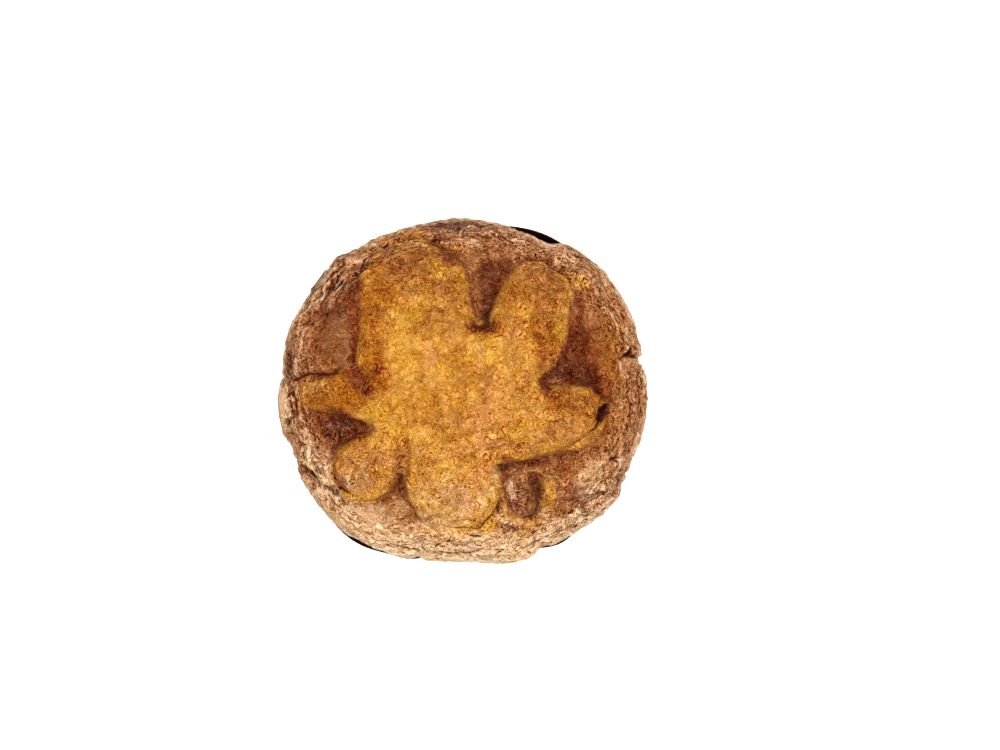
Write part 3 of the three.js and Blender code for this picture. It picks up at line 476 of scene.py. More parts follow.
def linear(hex_colour):
    """Linear red, green, blue and alpha from an sRGB hex colour such as "c88a3e"."""
    channels = [int(hex_colour[i : i + 2], 16) / 255 for i in (0, 2, 4)]
    return [c / 12.92 if c <= 0.04045 else ((c + 0.055) / 1.055) ** 2.4 for c in channels] + [1.0]


def shade(name, description, hex_colour):
    """A colour property with its default from an sRGB hex colour."""
    return FloatVectorProperty(name=name, description=description, subtype="COLOR", size=4,
                               min=0, max=1, default=linear(hex_colour))


def length(name, description, default):
    """A size in millimetres."""
    return FloatProperty(name=name, description=description + ", mm", default=default)


class LoafSettings(bpy.types.PropertyGroup):
    rings: IntProperty(name="Rings", description="Rings of mesh from the apex to the neck",
                       default=171, min=40, max=178)
    lobe_rise: length("Lobe rise", "Height of the risen star over the skin between its lobes", 5.2)
    lumps: length("Lumps", "Unevenness of the crust", 1.0)
    wrinkles: length("Wrinkles", "Depth of the wrinkles that run round near the rim", 1.6)
    leather: length("Leather", "Depth of the fine creases of the skin", 1.1)
    blisters: length("Blisters", "Height of the fine blisters in the crust", 0.22)
    tan: shade("Tan", "Ordinary browned crust", "80502a")
    gold: shade("Gold", "Dough that opened late and stayed golden", "9d6823")
    bronze: shade("Bronze", "Browned tops of the lobes", "7f4b18")
    amber: shade("Amber", "Orange slopes of the lobes", "8a4f08")
    honey: shade("Honey", "The least baked dough", "aa7829")
    # Partly painted shade: red-brown laid along the feet of the lobes and in hollows and folds.
    umber_and_shade: shade("Umber", "Red-brown where the heat was fiercest", "652b0a")
    dusk: shade("Dusk", "Smooth dark skin between the lobes", "4e2109")
    plum: shade("Plum", "Old skin with a purple cast, as egg and sugar bake on", "4a2a28")
    straw: shade("Straw", "Pale crust at the rim", "bb946c")
    # Partly painted light: the palest tone, also laid on the crown's outermost edge against the shade where
    # it turns away.
    flour_and_edge_light: shade("Flour", "Palest outermost edge, which bakes last", "c9ab8a")
    rosy: shade("Rosy", "Pinker drifts in the golden dough", "a8713e")
    crumb: shade("Crumb", "Paler raised creases in the golden dough", "a07446")
    dust: shade("Dust", "Pale flecks of dry crust", "b0906c")
    # Painted shade, mostly: the darkest brown, laid in the hollows and pockets.
    char: shade("Char", "Scorched bottoms of the pockets", "331006")
    # Painted shade: the near-black of the open cracks and of their bottoms.
    crack_shade: shade("Torn", "Crumb in the open cracks", "481606")
    slit: shade("Slit", "Bottoms of the cracks", "140401")


class CaseSettings(bpy.types.PropertyGroup):
    flutes: IntProperty(name="Flutes", description="Flutes of the corrugated wall", default=216, min=24)
    flute_depth: length("Flute depth", "Depth of one flute", 0.75)
    thickness: length("Thickness", "Thickness of the paper", 0.4)
    hem: length("Hem", "Width of the wall's lower edge that is folded under the base", 9)
    rim_waver: length("Rim waver", "How much the cut rim rises and falls", 0.7)
    paper: shade("Paper", "Chocolate brown baking paper", "3c1d0d")
    # Partly painted shade: darker paper near the rim, where the crown overhangs it.
    grease_and_shade: shade("Grease", "Paper soaked with butter near the rim", "2b110a")


class StageSettings(bpy.types.PropertyGroup):
    camera_height: length("Camera height", "Height of the camera over the crown's widest line", 1180.6)
    camera_right: length("Camera right", "How far the camera stands to the right of the loaf", 18.75)
    camera_far: length("Camera far", "How far the camera stands towards the far side", 8.25)
    key_power: FloatProperty(name="Key power", description="Soft key light, watts", default=22)
    fill_power: FloatProperty(name="Fill power", description="Broad fill light, watts", default=18)
    sky: FloatProperty(name="Sky", description="Strength of the even surrounding light", default=0.62)
    floor_white: shade("Floor", "Opal table top", "f4f4f2")
    floor_glow: FloatProperty(name="Floor glow", description="Light through the opal table top", default=0.3)


# ---- Shapes -------------------------------------------------------------------------------------


def ramp(values, low, high):
    """0 below low, 1 above high and a smooth step between."""
    t = np.clip((values - low) / (high - low), 0, 1)
    return t * t * (3 - 2 * t)


def noise(points, cell, seed):
    """Smooth gradient noise, about -1 to 1, with cells of the given size, at points (n, 3)."""
    rng = np.random.default_rng(seed)
    table = rng.permutation(256)
    gradients = rng.normal(size=(256, 3))
    gradients /= np.linalg.norm(gradients, axis=1, keepdims=True)
    place = points / cell
    corner = np.floor(place).astype(np.int64)
    inside = place - corner
    fade = inside**3 * (inside * (inside * 6 - 15) + 10)
    total = np.zeros(len(points))
    for step in np.ndindex(2, 2, 2):
        cx, cy, cz = ((corner + step) & 255).T
        picked = gradients[table[(table[(table[cx] + cy) & 255] + cz) & 255]]
        weight = np.prod(np.where(step, fade, 1 - fade), axis=1)
        total += weight * np.einsum("ij,ij->i", picked, inside - step)
    return total * 1.6


def around(bumps, theta):
    """Sum of smooth bumps round the outline, given as angle and spread in degrees, and height."""
    total = np.zeros_like(theta)
    for angle, spread, height in bumps:
        away = np.degrees(np.angle(np.exp(1j * (theta - math.radians(angle)))))
        total += height * np.exp(-((away / spread) ** 2))
    return total


def plain_radius(theta):
    return CROWN_RADIUS + OVAL * np.cos(2 * theta) - SQUARENESS * np.cos(4 * theta)


def crown_radius(theta):
    return plain_radius(theta) - around(DENTS, theta)


def neck_radius(theta):
    return np.minimum(plain_radius(theta) - NECK_INSET, crown_radius(theta) - NECK_UNDERCUT)


def rim_radius(theta):
    """Outer face of the paper at the rim."""
    return plain_radius(theta) - RIM_INSET + around(FLARES, theta) + PAPER_ALLOWANCE


def wall_swell(share):
    """How much of its swelling the wall has reached at a share of its height."""
    return 0.35 * ramp(share, 0, 1) + 0.65 * share**3


def case_radius(share, theta):
    return FOOT_RADIUS + (rim_radius(theta) - FOOT_RADIUS) * wall_swell(share)


def star_distance(x, y):
    """Distance outside the risen star in plan, negative inside it."""
    hub_x, hub_y, hub_r = STAR_HUB
    distance = np.hypot(x - hub_x, y - hub_y) - hub_r
    for (ax, ay, ar), (bx, by, br) in LOBES:
        dx, dy = bx - ax, by - ay
        t = np.clip(((x - ax) * dx + (y - ay) * dy) / (dx * dx + dy * dy), 0, 1)
        lobe = np.hypot(x - ax - t * dx, y - ay - t * dy) - (ar + t * (br - ar))
        h = np.clip(0.5 + 0.5 * (lobe - distance) / LOBE_BLEND, 0, 1)
        distance = lobe * (1 - h) + distance * h - LOBE_BLEND * h * (1 - h)
    return distance


def oval(x, y, at_x, at_y, half_x, half_y, turn=0):
    """Squared distance from an oval's middle, 1 on its edge."""
    c, s = math.cos(math.radians(turn)), math.sin(math.radians(turn))
    u = ((x - at_x) * c + (y - at_y) * s) / half_x
    v = ((y - at_y) * c - (x - at_x) * s) / half_y
    return u * u + v * v


def smooth_line(corners, steps):
    """Catmull-Rom points through the corners."""
    p = np.array([corners[0], *corners, corners[-1]], float)
    t = np.linspace(0, len(corners) - 1, steps + 1)
    i = np.minimum(t.astype(int), len(corners) - 2)
    u = (t - i)[:, None]
    a, b, c, d = p[i], p[i + 1], p[i + 2], p[i + 3]
    return 0.5 * (2 * b + (c - a) * u + (2 * a - 5 * b + 4 * c - d) * u**2 + (3 * b - a - 3 * c + d) * u**3)


def line_distance(x, y, corners, reach):
    """Distance to a smooth line and the share along it, for points nearer than reach."""
    line = smooth_line(corners, FOLD_STEPS)
    low, high = line.min(axis=0) - reach, line.max(axis=0) + reach
    near = np.flatnonzero((x > low[0]) & (x < high[0]) & (y > low[1]) & (y < high[1]))
    best = np.full(len(near), np.inf)
    share = np.zeros(len(near))
    px, py = x[near], y[near]
    for i, ((ax, ay), (bx, by)) in enumerate(zip(line[:-1], line[1:])):
        dx, dy = bx - ax, by - ay
        t = np.clip(((px - ax) * dx + (py - ay) * dy) / (dx * dx + dy * dy + 1e-9), 0, 1)
        d = np.hypot(px - ax - t * dx, py - ay - t * dy)
        closer = d < best
        best[closer] = d[closer]
        share[closer] = (i + t[closer]) / FOLD_STEPS
    return near, best, share


def corner_distance(x, y, corners):
    """Distance from a straight-sided outline, below 0 inside it."""
    corners = np.array(corners, float)
    away, inside = np.full_like(x, np.inf), np.zeros(x.shape, bool)
    for (ax, ay), (bx, by) in zip(corners, np.roll(corners, -1, axis=0)):
        along = ((x - ax) * (bx - ax) + (y - ay) * (by - ay)) / ((bx - ax) ** 2 + (by - ay) ** 2)
        along = np.clip(along, 0, 1)
        away = np.minimum(away, np.hypot(x - ax - along * (bx - ax), y - ay - along * (by - ay)))
        if ay != by:
            inside ^= ((ay > y) != (by > y)) & (x < (bx - ax) * (y - ay) / (by - ay) + ax)
    return np.where(inside, -away, away)


def crown_profile(rings):
    """Share of the radius, height over the widest line, tuck below it and run from the apex, evenly."""
    over = np.linspace(0, math.pi / 2, 400)
    under = np.linspace(0, math.pi / 2, 101)[1:]
    share = np.concatenate([np.sin(over) ** DOME_POWER, np.ones(len(under))])
    height = np.concatenate([DOME_HEIGHT * np.cos(over).clip(0) ** DOME_POWER, np.zeros(len(under))])
    tuck = np.concatenate([np.zeros(len(over)), under])
    radius = share * CROWN_RADIUS - NECK_INSET * (1 - np.cos(tuck))
    z = height - (WIDE_Z - RIM_Z) * np.sin(tuck)
    run = np.concatenate([[0], np.cumsum(np.hypot(np.diff(radius), np.diff(z)))])
    even = np.linspace(0, run[-1], rings + 1)
    return [np.interp(even, run, values) for values in (share, height, tuck, run)]


def disc_mesh(rings):
    """Triangles of a disc whose ring j has SECTORS * j points, and where each ring starts."""
    ring = np.arange(rings + 1)
    start = 1 + SECTORS * (ring * (ring - 1) // 2)
    start[0] = 0
    first = np.arange(SECTORS)
    faces = [np.stack([0 * first, 1 + first, 1 + (first + 1) % SECTORS], axis=1)]
    for j in range(1, rings):
        side, k = np.divmod(np.arange(SECTORS * j), j)
        a = start[j] + side * j + k
        b = start[j] + (side * j + k + 1) % (SECTORS * j)
        c = start[j + 1] + side * (j + 1) + k
        corner = start[j] + (first * j + j) % (SECTORS * j)
        last = start[j + 1] + first * (j + 1) + j
        following = start[j + 1] + ((first + 1) * (j + 1)) % (SECTORS * (j + 1))
        faces += [np.stack(t, axis=1) for t in ((a, c, c + 1), (a, c + 1, b), (corner, last, following))]
    return np.concatenate(faces), start


def disc_places(rings, start):
    """Ring and angle of every point of such a disc."""
    ring = np.concatenate([[0], np.repeat(np.arange(1, rings + 1), SECTORS * np.arange(1, rings + 1))])
    return ring, 2 * math.pi * (np.arange(len(ring)) - start[ring]) / np.maximum(SECTORS * ring, 1)


def vertex_normals(points, faces):
    """Unit normals of a triangle mesh at its vertices."""
    a, b, c = (points[faces[:, i]] for i in range(3))
    flat = np.cross(b - a, c - a)
    normals = np.zeros_like(points)
    for i in range(3):
        np.add.at(normals, faces[:, i], flat)
    return normals / np.linalg.norm(normals, axis=1, keepdims=True)


def mesh_object(name, points_mm, faces):
    """A mesh object from points in millimetres, shaded smooth."""
    mesh = bpy.data.meshes.new(name)
    mesh.from_pydata((np.asarray(points_mm) * MM).tolist(), [], np.asarray(faces).tolist())
    mesh.shade_smooth()
    made = bpy.data.objects.new(name, mesh)
    bpy.context.scene.collection.objects.link(made)
    return made


def store(piece, name, values):
    """Gives every point of the piece a number, under a name."""
    layer = piece.data.attributes.new(name, "FLOAT", "POINT")
    layer.data.foreach_set("value", values.astype(np.float32))


def baked(piece):
    """The piece with what its modifiers make of it as its plain mesh."""
    mesh = bpy.data.meshes.new_from_object(piece.evaluated_get(bpy.context.evaluated_depsgraph_get()))
    piece.modifiers.clear()
    piece.data = mesh
    mesh.name = piece.name
    mesh.shade_smooth()
    return piece


# ---- The loaf -----------------------------------------------------------------------------------


def crust_relief(x, y, share, run, plain, settings):
    """Height of the crust over the plain dome in mm, distance from the lobes, and masks of its lines."""
    wander_x = 1.5 * noise(plain, 13, 11) + 0.6 * noise(plain, 4.5, 12)
    wander_y = 1.5 * noise(plain, 13, 13) + 0.6 * noise(plain, 4.5, 14)
    distance = star_distance(x + wander_x, y + wander_y)
    inside = np.clip(-distance / LOBE_SHOULDER, 0, 1)
    melt = overlaid(x, y, MELTS)
    fade = (1 - 0.45 * ramp(share, 0.55, 0.9)) * (1 - 0.8 * melt)
    height = settings.lobe_rise * np.sqrt(1 - (1 - inside) ** 2) * fade
    furrow = np.exp(-((np.maximum(distance, 0) / FURROW_REACH) ** 2)) * (1 - inside)
    height -= EDGE_FURROW * furrow * (1 - melt)
    for at_x, at_y, half_x, half_y, depth, *turn in HOLLOWS:
        height -= depth * np.exp(-(oval(x, y, at_x, at_y, half_x, half_y, *turn) ** 1.4))
    lines = {"crack": np.zeros_like(x), "ridge": np.zeros_like(x)}
    strayed = x + 0.5 * noise(plain, 3.2, 21), y + 0.5 * noise(plain, 3.2, 22)
    for corners, width, furrow, slit in FOLDS:
        near, away, along = line_distance(*strayed, corners, 4 * width)
        ends = np.sqrt(np.sin(math.pi * np.clip(along, 0.02, 0.98)))
        lip = 0.35 * furrow * np.exp(-(((away - 1.9 * width) / (0.8 * width)) ** 2))
        opened = np.exp(-((away / (SLIT_WIDTH * (0.75 + 0.25 * slit))) ** 2))
        height[near] += ends * (lip - furrow * np.exp(-((away / width) ** 2)) - slit * opened)
        # The slit is also painted dark as shade, the deeper the darker.
        lines["crack"][near] = np.maximum(lines["crack"][near], ends * opened * min(1, 0.4 + 0.45 * slit))
    for depth, darkness, corners in PITS:
        edge = corner_distance(*strayed, corners)
        height -= depth * (1 - ramp(edge, -1.2, 0.7))
        lines["crack"] = np.maximum(lines["crack"], darkness * (1 - ramp(edge, -0.6, 0.6)))
    for corners, width, rise in RIDGES:
        near, away, along = line_distance(*strayed, corners, 3 * width)
        raised = np.sqrt(np.sin(math.pi * np.clip(along, 0, 1))) * np.exp(-((away / width) ** 2))
        height[near] += rise * raised
        lines["ridge"][near] = np.maximum(lines["ridge"][near], raised * min(1, 0.35 + 0.5 * rise))
    lines["crease"] = rim_creases(x, y, share, run, plain)
    height -= settings.wrinkles * lines["crease"]
    height += settings.lumps * (0.9 * noise(plain, 21, 31) + 0.42 * noise(plain, 9, 32))
    swirl = plain + 1.6 * np.stack([noise(plain, 8, seed) for seed in (35, 36, 37)], axis=1)
    height += settings.leather * (0.35 - np.abs(noise(swirl, 4.2, 38)))
    return height, distance, {**lines, "melt": melt}


def rim_creases(x, y, share, run, plain):
    """Creases that run round near the rim, strongest where the dough slumped, above 0 where they sink in."""
    theta = np.arctan2(y, x)
    run = run + 1.6 * noise(plain, 17, 41)
    creases = np.zeros_like(x)
    for apart, long, seed, amount in ((5.2, 34, 42, 0.4), (2.6, 16, 43, 0.42), (1.5, 8, 44, 0.4)):
        turned = np.stack([run / apart, np.cos(theta) * CROWN_RADIUS / long,
                           np.sin(theta) * CROWN_RADIUS / long], axis=1)
        creases += amount * noise(turned, 1, seed)
    creases *= ramp(share, 0.70, 0.92) * (1 - 0.6 * ramp(share, 0.94, 1))
    return creases * (0.5 + around(SLUMPS, theta))


def overlaid(x, y, patches, start=0.0):
    """Soft-edged ovals laid over each other, and over what is there at the start."""
    clear = 1 - start
    for at_x, at_y, half_x, half_y, strength, *turn in patches:
        reach = np.sqrt(oval(x, y, at_x, at_y, half_x, half_y, *turn))
        clear = clear * (1 - strength * (1 - ramp(reach, 0.4, 1.5)))
    return 1 - clear


def tone_masks(x, y, distance, share, tuck, plain, melt):
    """How much of each crust tone every point takes, from 0 to 1."""
    wander_x, wander_y = 1.3 * noise(plain, 7, 51), 1.3 * noise(plain, 7, 52)
    # Painted shade: a red-brown band along the furrow at the foot of each lobe.
    foot = np.exp(-(((distance - 1) / 3) ** 2)) * (1 - melt)
    ragged = distance + 0.9 * noise(plain, 3.2, 53) - 2 * melt
    masks = {"gold": 1 - ramp(ragged / (1 + 2 * melt), -3.0, 1.6), "umber_and_shade": 0.5 * foot}
    for tone, patches in TONES.items():
        masks[tone] = overlaid(x + wander_x, y + wander_y, patches, masks.get(tone, 0.0))
    for strength, corners in SKINS:
        edge = corner_distance(x + 0.5 * wander_x, y + 0.5 * wander_y, corners)
        masks["dusk"] = np.maximum(masks["dusk"], strength * (1 - ramp(edge, -3.0, 3.0)))
    flaky = masks.pop("flaky")
    under = ramp(tuck, 0.05, 0.9)  # the skirt just over the paper is evenly pale
    masks = {name: values * (1 - 0.8 * under) for name, values in masks.items()}
    # Painted light: the crown's outermost edge is paled, against the shade where it turns away.
    masks["straw"] = np.maximum(masks["straw"], np.maximum(0.5 * under, 0.55 * ramp(share, 0.96, 1)))
    masks["flour_and_edge_light"] = np.maximum(masks["flour_and_edge_light"] * (1 - under), 0.15 * ramp(share, 0.95, 0.99))
    hub = np.exp(-(oval(x, y, *CALM_HUB) ** 1.5))
    masks["rim"] = ramp(share, 0.72, 0.9)
    coarser = 0.95 * np.maximum(masks["rim"] * (1 - 0.6 * ramp(share, 0.93, 1)), flaky)
    masks["grainy"] = (1 - 0.38 * hub) * (1 + coarser) * (1 - 0.35 * under) * (1 - 0.5 * masks["smooth"])
    return masks


def loaf_mesh(settings):
    """The loaf: a risen, scored crown over a body that fills the case down to its foot."""
    rings = settings.rings
    profile = crown_profile(rings)
    faces, start = disc_mesh(rings)
    ring, theta = disc_places(rings, start)
    share, height, tuck, run = (values[ring] for values in profile)

    wide, neck = crown_radius(theta), neck_radius(theta)
    radius = share * wide - (wide - neck) * (1 - np.cos(tuck))
    x, y = radius * np.cos(theta), radius * np.sin(theta)
    lip = RIM_Z + LIP_CLEARANCE
    plain = np.stack([x, y, WIDE_Z + height - (WIDE_Z - lip) * np.sin(tuck)], axis=1)
    slope = np.stack([x / CROWN_RADIUS**2, y / CROWN_RADIUS**2, height / DOME_HEIGHT**2], axis=1)
    slope[0] = (0, 0, 1)
    slope /= np.linalg.norm(slope, axis=1, keepdims=True)

    relief, distance, lines = crust_relief(x, y, share, run, plain, settings)
    lines["crack"] *= 1 - ramp(tuck, 0, 0.6)
    masks = {**tone_masks(x, y, distance, share, tuck, plain, lines.pop("melt")), **lines, "run": run}
    crown = plain + slope * (relief * (1 - ramp(tuck, 0, 0.9)))[:, None]
    free = 1 - ramp(tuck, 1.25, 1.5)
    shreds = noise(np.stack([theta * CROWN_RADIUS / 2.2, tuck * 0.8, share], axis=1), 1, 61)
    fine = 0.30 * noise(crown, 3.6, 33) + 0.5 * settings.blisters * noise(crown, 1.9, 34)
    fine += 0.35 * shreds * ramp(tuck, 0.3, 1.0)
    crown += vertex_normals(crown, faces) * (fine * free)[:, None]

    body, body_faces = body_below(crown, start[rings], rings)
    points = np.concatenate([crown, body])
    made = mesh_object("loaf_crust", points, np.concatenate([faces, body_faces]))
    for tone, values in masks.items():
        store(made, tone, np.concatenate([values, np.zeros(len(body))]))
    return made


def body_below(crown, neck_start, rings):
    """Points and triangles of the body inside the case, from the crown's neck down to its foot."""
    fine, half = SECTORS * rings, SECTORS // 2
    theta = 2 * math.pi * np.arange(rings) / rings
    foot = FOOT_RADIUS - LOAF_GAP
    levels = [(foot + (neck_radius(theta) - foot) * wall_swell(s), s * RIM_Z) for s in BODY_SHARES]
    levels += [(foot + 0 * theta, LOAF_FOOT + FOOT_BEVEL), (foot - FOOT_BEVEL + 0 * theta, LOAF_FOOT)]
    body = np.concatenate([
        np.stack([r * np.cos(theta), r * np.sin(theta), z + 0 * theta], axis=1) for r, z in levels
    ] + [[[0, 0, LOAF_FOOT]]])
    i = np.arange(rings)
    first = len(crown)
    near, far = first + i, first + (i + 1) % rings
    faces = [np.stack([neck_start + (SECTORS * i + k) % fine, near if k < half else far,
                       neck_start + (SECTORS * i + k + 1) % fine], axis=1) for k in range(SECTORS)]
    faces.append(np.stack([neck_start + SECTORS * i + half, near, far], axis=1))
    for level in range(len(levels) - 1):
        a, b = near + level * rings, far + level * rings
        faces += [np.stack([a, a + rings, b + rings], axis=1), np.stack([a, b + rings, b], axis=1)]
    low = (len(levels) - 1) * rings
    middle = np.full(rings, len(crown) + len(body) - 1)
    faces.append(np.stack([middle, far + low, near + low], axis=1))
    return body, np.concatenate(faces)


# ---- Nodes --------------------------------------------------------------------------------------


class Nodes:
    """Short ways to add the nodes of one tree; each returns an output socket."""

    def __init__(self, tree):
        self.tree = tree

    def add(self, kind, settings=None, inputs=None, output=0):
        """Adds a node, sets its properties, sets or links its inputs, and returns one of its outputs."""
        node = self.tree.nodes.new(kind)
        for key, value in (settings or {}).items():
            setattr(node, key, value)
        for key, value in (inputs or {}).items():
            if isinstance(value, bpy.types.NodeSocket):
                self.tree.links.new(value, node.inputs[key])
            else:
                node.inputs[key].default_value = value
        return node.outputs[output] if node.outputs else None

    def maths(self, operation, a, b=0.0, c=0.0):
        return self.add("ShaderNodeMath", {"operation": operation}, {0: a, 1: b, 2: c})

    def times(self, a, b):
        return self.maths("MULTIPLY", a, b)

    def plus(self, first, *others):
        for other in others:
            first = self.maths("ADD", first, other)
        return first

    def vector(self, operation, a, b=(0, 0, 0)):
        return self.add("ShaderNodeVectorMath", {"operation": operation}, {0: a, 1: b})

    def scaled(self, vector, by):
        return self.add("ShaderNodeVectorMath", {"operation": "SCALE"}, {0: vector, "Scale": by})

    def part(self, vector, axis):
        return self.add("ShaderNodeSeparateXYZ", None, {"Vector": vector}, output=axis)

    def outward(self, place):
        """The level direction away from the middle."""
        return self.vector("NORMALIZE", self.vector("MULTIPLY", place, (1, 1, 0)))

    def wave(self, place, count):
        """1 on the crests of so many flutes round the middle, -1 in their valleys."""
        angle = self.maths("ARCTAN2", self.part(place, "Y"), self.part(place, "X"))
        return self.maths("COSINE", self.times(angle, count))

    def spread(self, value, low, high, to_low=0.0, to_high=1.0, kind="SMOOTHSTEP"):
        """One number below low, another above high, and a step between."""
        return self.add("ShaderNodeMapRange", {"interpolation_type": kind},
                        {"Value": value, "From Min": low, "From Max": high,
                         "To Min": to_low, "To Max": to_high})

    def mix(self, factor, a, b):
        """Between two colours."""
        return self.add("ShaderNodeMix", {"data_type": "RGBA"}, {"Factor": factor, 6: a, 7: b}, output=2)

    def blend(self, factor, a, b):
        """Between two numbers."""
        return self.add("ShaderNodeMix", None, {"Factor": factor, "A": a, "B": b})

    def tone(self, name):
        """One of the masks that the mesh carries."""
        return self.add("ShaderNodeAttribute", {"attribute_name": name}, output="Fac")

    def grain(self, place, size, detail, roughness=0.5, shift=0.0, swirl=0.0, output=0):
        """Noise of a size in mm at a place in mm, shifted so that no two kinds of it coincide."""
        place = self.add("ShaderNodeMapping", None, {"Vector": place, "Location": (shift, shift, shift)})
        return self.add("ShaderNodeTexNoise", None,
                        {"Vector": place, "Scale": 1 / size, "Detail": detail, "Roughness": roughness,
                         "Distortion": swirl}, output=output)

    def veins(self, grain, width, inside, outside=0.0):
        """One number along the contour lines of a grain and another away from them."""
        away = self.maths("ABSOLUTE", self.maths("SUBTRACT", grain, 0.5))
        return self.spread(away, 0.0, width, inside, outside)


def new_material(name):
    """An empty node material, its nodes and the place in mm that they shade."""
    material = bpy.data.materials.new(name)
    material.use_nodes = True
    material.node_tree.nodes.clear()
    nodes = Nodes(material.node_tree)
    return material, nodes, nodes.scaled(nodes.add("ShaderNodeTexCoord", output="Object"), 1 / MM)


def crust_colour(nodes, mm, settings):
    """The crust's colour before its strokes: gold on tan, cloudy drifts, every tone in turn, then the
    creases, darkened as painted shade where they sink in.
    """
    uneven = nodes.times(nodes.maths("SUBTRACT", 1.0, nodes.tone("smooth")), MOTTLING)
    mottle = nodes.times(nodes.maths("SUBTRACT", nodes.grain(mm, 3.4, 2, 0.6), 0.5), uneven)
    golden = nodes.spread(nodes.plus(nodes.tone("gold"), mottle), 0.2, 0.8)
    colour = nodes.mix(golden, settings.tan, settings.gold)
    for name, size, roughness, shift, low, high, most, golden_only in DRIFTS:
        drift = nodes.spread(nodes.grain(mm, size, 3, roughness, shift), low, high, 0.0, most)
        drift = nodes.times(drift, golden) if golden_only else drift
        colour = nodes.mix(drift, colour, getattr(settings, name))
    for name in COATS:
        covered = nodes.spread(nodes.plus(nodes.tone(name), mottle), 0.0, 1.0)
        covered = nodes.times(covered, nodes.spread(nodes.tone(name), 0.0, 0.25))
        colour = nodes.mix(covered, colour, getattr(settings, name))
    # Painted shade: the rim creases take the dark skin colour where they sink in; they are paler where they
    # rise.
    crease_shaded = nodes.mix(nodes.spread(nodes.tone("crease"), 0.05, 0.6, 0.0, 0.6), colour, settings.dusk)
    risen = nodes.mix(nodes.spread(nodes.tone("crease"), -0.05, -0.5, 0.0, 0.45), crease_shaded, settings.dust)
    pale = nodes.mix(nodes.tone("rim"), settings.crumb, settings.dust)
    return nodes.mix(nodes.spread(nodes.tone("ridge"), 0.1, 0.8, 0.0, 0.7), risen, pale)


def crust_strokes(nodes, mm):
    """The fine strokes of the skin, below 0 where they are dark, and the curled places that they lie in."""
    # Baked skin crinkles in short curls: the grain is drawn out by a warp of the surface.
    warp = nodes.vector("SUBTRACT", nodes.grain(mm, WARP_SIZE, 1, output="Color"), (0.5, 0.5, 0.5))
    bent = nodes.vector("ADD", mm, nodes.scaled(warp, WARP_REACH))
    lines = nodes.veins(nodes.grain(bent, 2.2, 2, 0.6), 0.065, -0.07, 0.03)
    fine = nodes.spread(nodes.grain(bent, 0.8, 2, 0.8, shift=9), 0.35, 0.63, -0.115, 0.085)
    coarse = nodes.spread(nodes.grain(bent, 5.0, 3, 0.7, shift=50), 0.34, 0.66, -0.05, 0.05)
    # Hair creases: long thin curves, as contour lines of slow noise give them.
    hairs = nodes.veins(nodes.grain(mm, 8.0, 3, 0.55, shift=77, swirl=0.6), 0.012, -0.08)
    # Along the rim the strokes run round it.
    across = nodes.add("ShaderNodeCombineXYZ", None, {"Z": nodes.tone("run")})
    stray = nodes.scaled(nodes.grain(mm, 9.0, 2, 0.6, output="Color"), 9.0)
    drawn = nodes.vector("ADD", nodes.scaled(nodes.outward(mm), CROWN_RADIUS / 8), across)
    drawn = nodes.vector("ADD", drawn, stray)
    streaks = nodes.spread(nodes.grain(drawn, 1.4, 3, 0.8, swirl=0.6), 0.34, 0.61, -0.14, 0.085)
    wisps = nodes.veins(nodes.grain(drawn, 2.4, 2, 0.7, shift=70, swirl=0.5), 0.06, -0.085, 0.03)
    crinkled = nodes.plus(lines, fine, coarse, hairs)
    stretched = nodes.plus(streaks, wisps, nodes.times(fine, 0.5))
    return nodes.blend(nodes.times(nodes.tone("rim"), 0.75), crinkled, stretched), bent


def crust_material(settings):
    """Baked brioche crust: a thin dry skin, matt with a faint buttery sheen, grained and blistered."""
    material, nodes, mm = new_material("baked_crust")
    strokes, bent = crust_strokes(nodes, mm)
    clouds = nodes.spread(nodes.grain(mm, 13.0, 4, 0.6, shift=30), 0.38, 0.62, -0.06, 0.06)
    fleck = nodes.maths("MULTIPLY_ADD", strokes, nodes.times(nodes.tone("grainy"), GRAIN_GAIN), clouds)
    # The dark skins are smoother and lightly dusted, though not under the red-brown coat, which is partly
    # painted shade.
    specks = nodes.spread(nodes.grain(bent, 1.0, 2, 0.7, shift=150), 0.54, 0.68, 0.0, 0.2)
    dusted = nodes.plus(nodes.maths("MAXIMUM", fleck, -0.12), specks)
    dusted_skin = nodes.times(nodes.tone("dusk"), nodes.maths("SUBTRACT", 1.0, nodes.tone("umber_and_shade")))
    fleck = nodes.blend(dusted_skin, fleck, dusted)
    # A fleck moves every channel alike to the eye, so light ones are also paler and dark ones deeper.
    colour = crust_colour(nodes, mm, settings)
    eyed = nodes.add("ShaderNodeGamma", None, {"Color": colour, "Gamma": 0.545})
    eyed = nodes.vector("MULTIPLY", eyed, (1.0, 1.0, 1.2))
    lit = nodes.vector("ADD", colour, nodes.scaled(eyed, fleck))
    lit = nodes.vector("MAXIMUM", lit, linear(DEEPEST)[:3])
    # Painted shade: cracks and holes are coloured near black where their depths lie in shadow.
    crack_shade = nodes.spread(nodes.tone("crack"), 0.15, 0.75, 0.0, 0.95)
    cracked = nodes.mix(crack_shade, lit, settings.crack_shade)
    cracked = nodes.mix(nodes.spread(nodes.tone("crack"), 0.7, 1.0, 0.0, 0.95), cracked, settings.slit)

    gloss = nodes.blend(crack_shade, nodes.spread(nodes.tone("dusk"), 0.0, 1.0, 0.05, 0.01), 0.0)
    bump = nodes.add("ShaderNodeBump", None, {"Height": strokes, "Distance": 1.3 * MM, "Strength": 1.0})
    surface = nodes.add("ShaderNodeBsdfPrincipled", None,
                        {"Base Color": cracked, "Roughness": nodes.spread(strokes, -0.15, 0.15, 0.7, 0.5),
                         "Normal": bump, "Specular IOR Level": gloss, "IOR": 1.45})
    nodes.add("ShaderNodeOutputMaterial", None, {"Surface": surface})
    return material


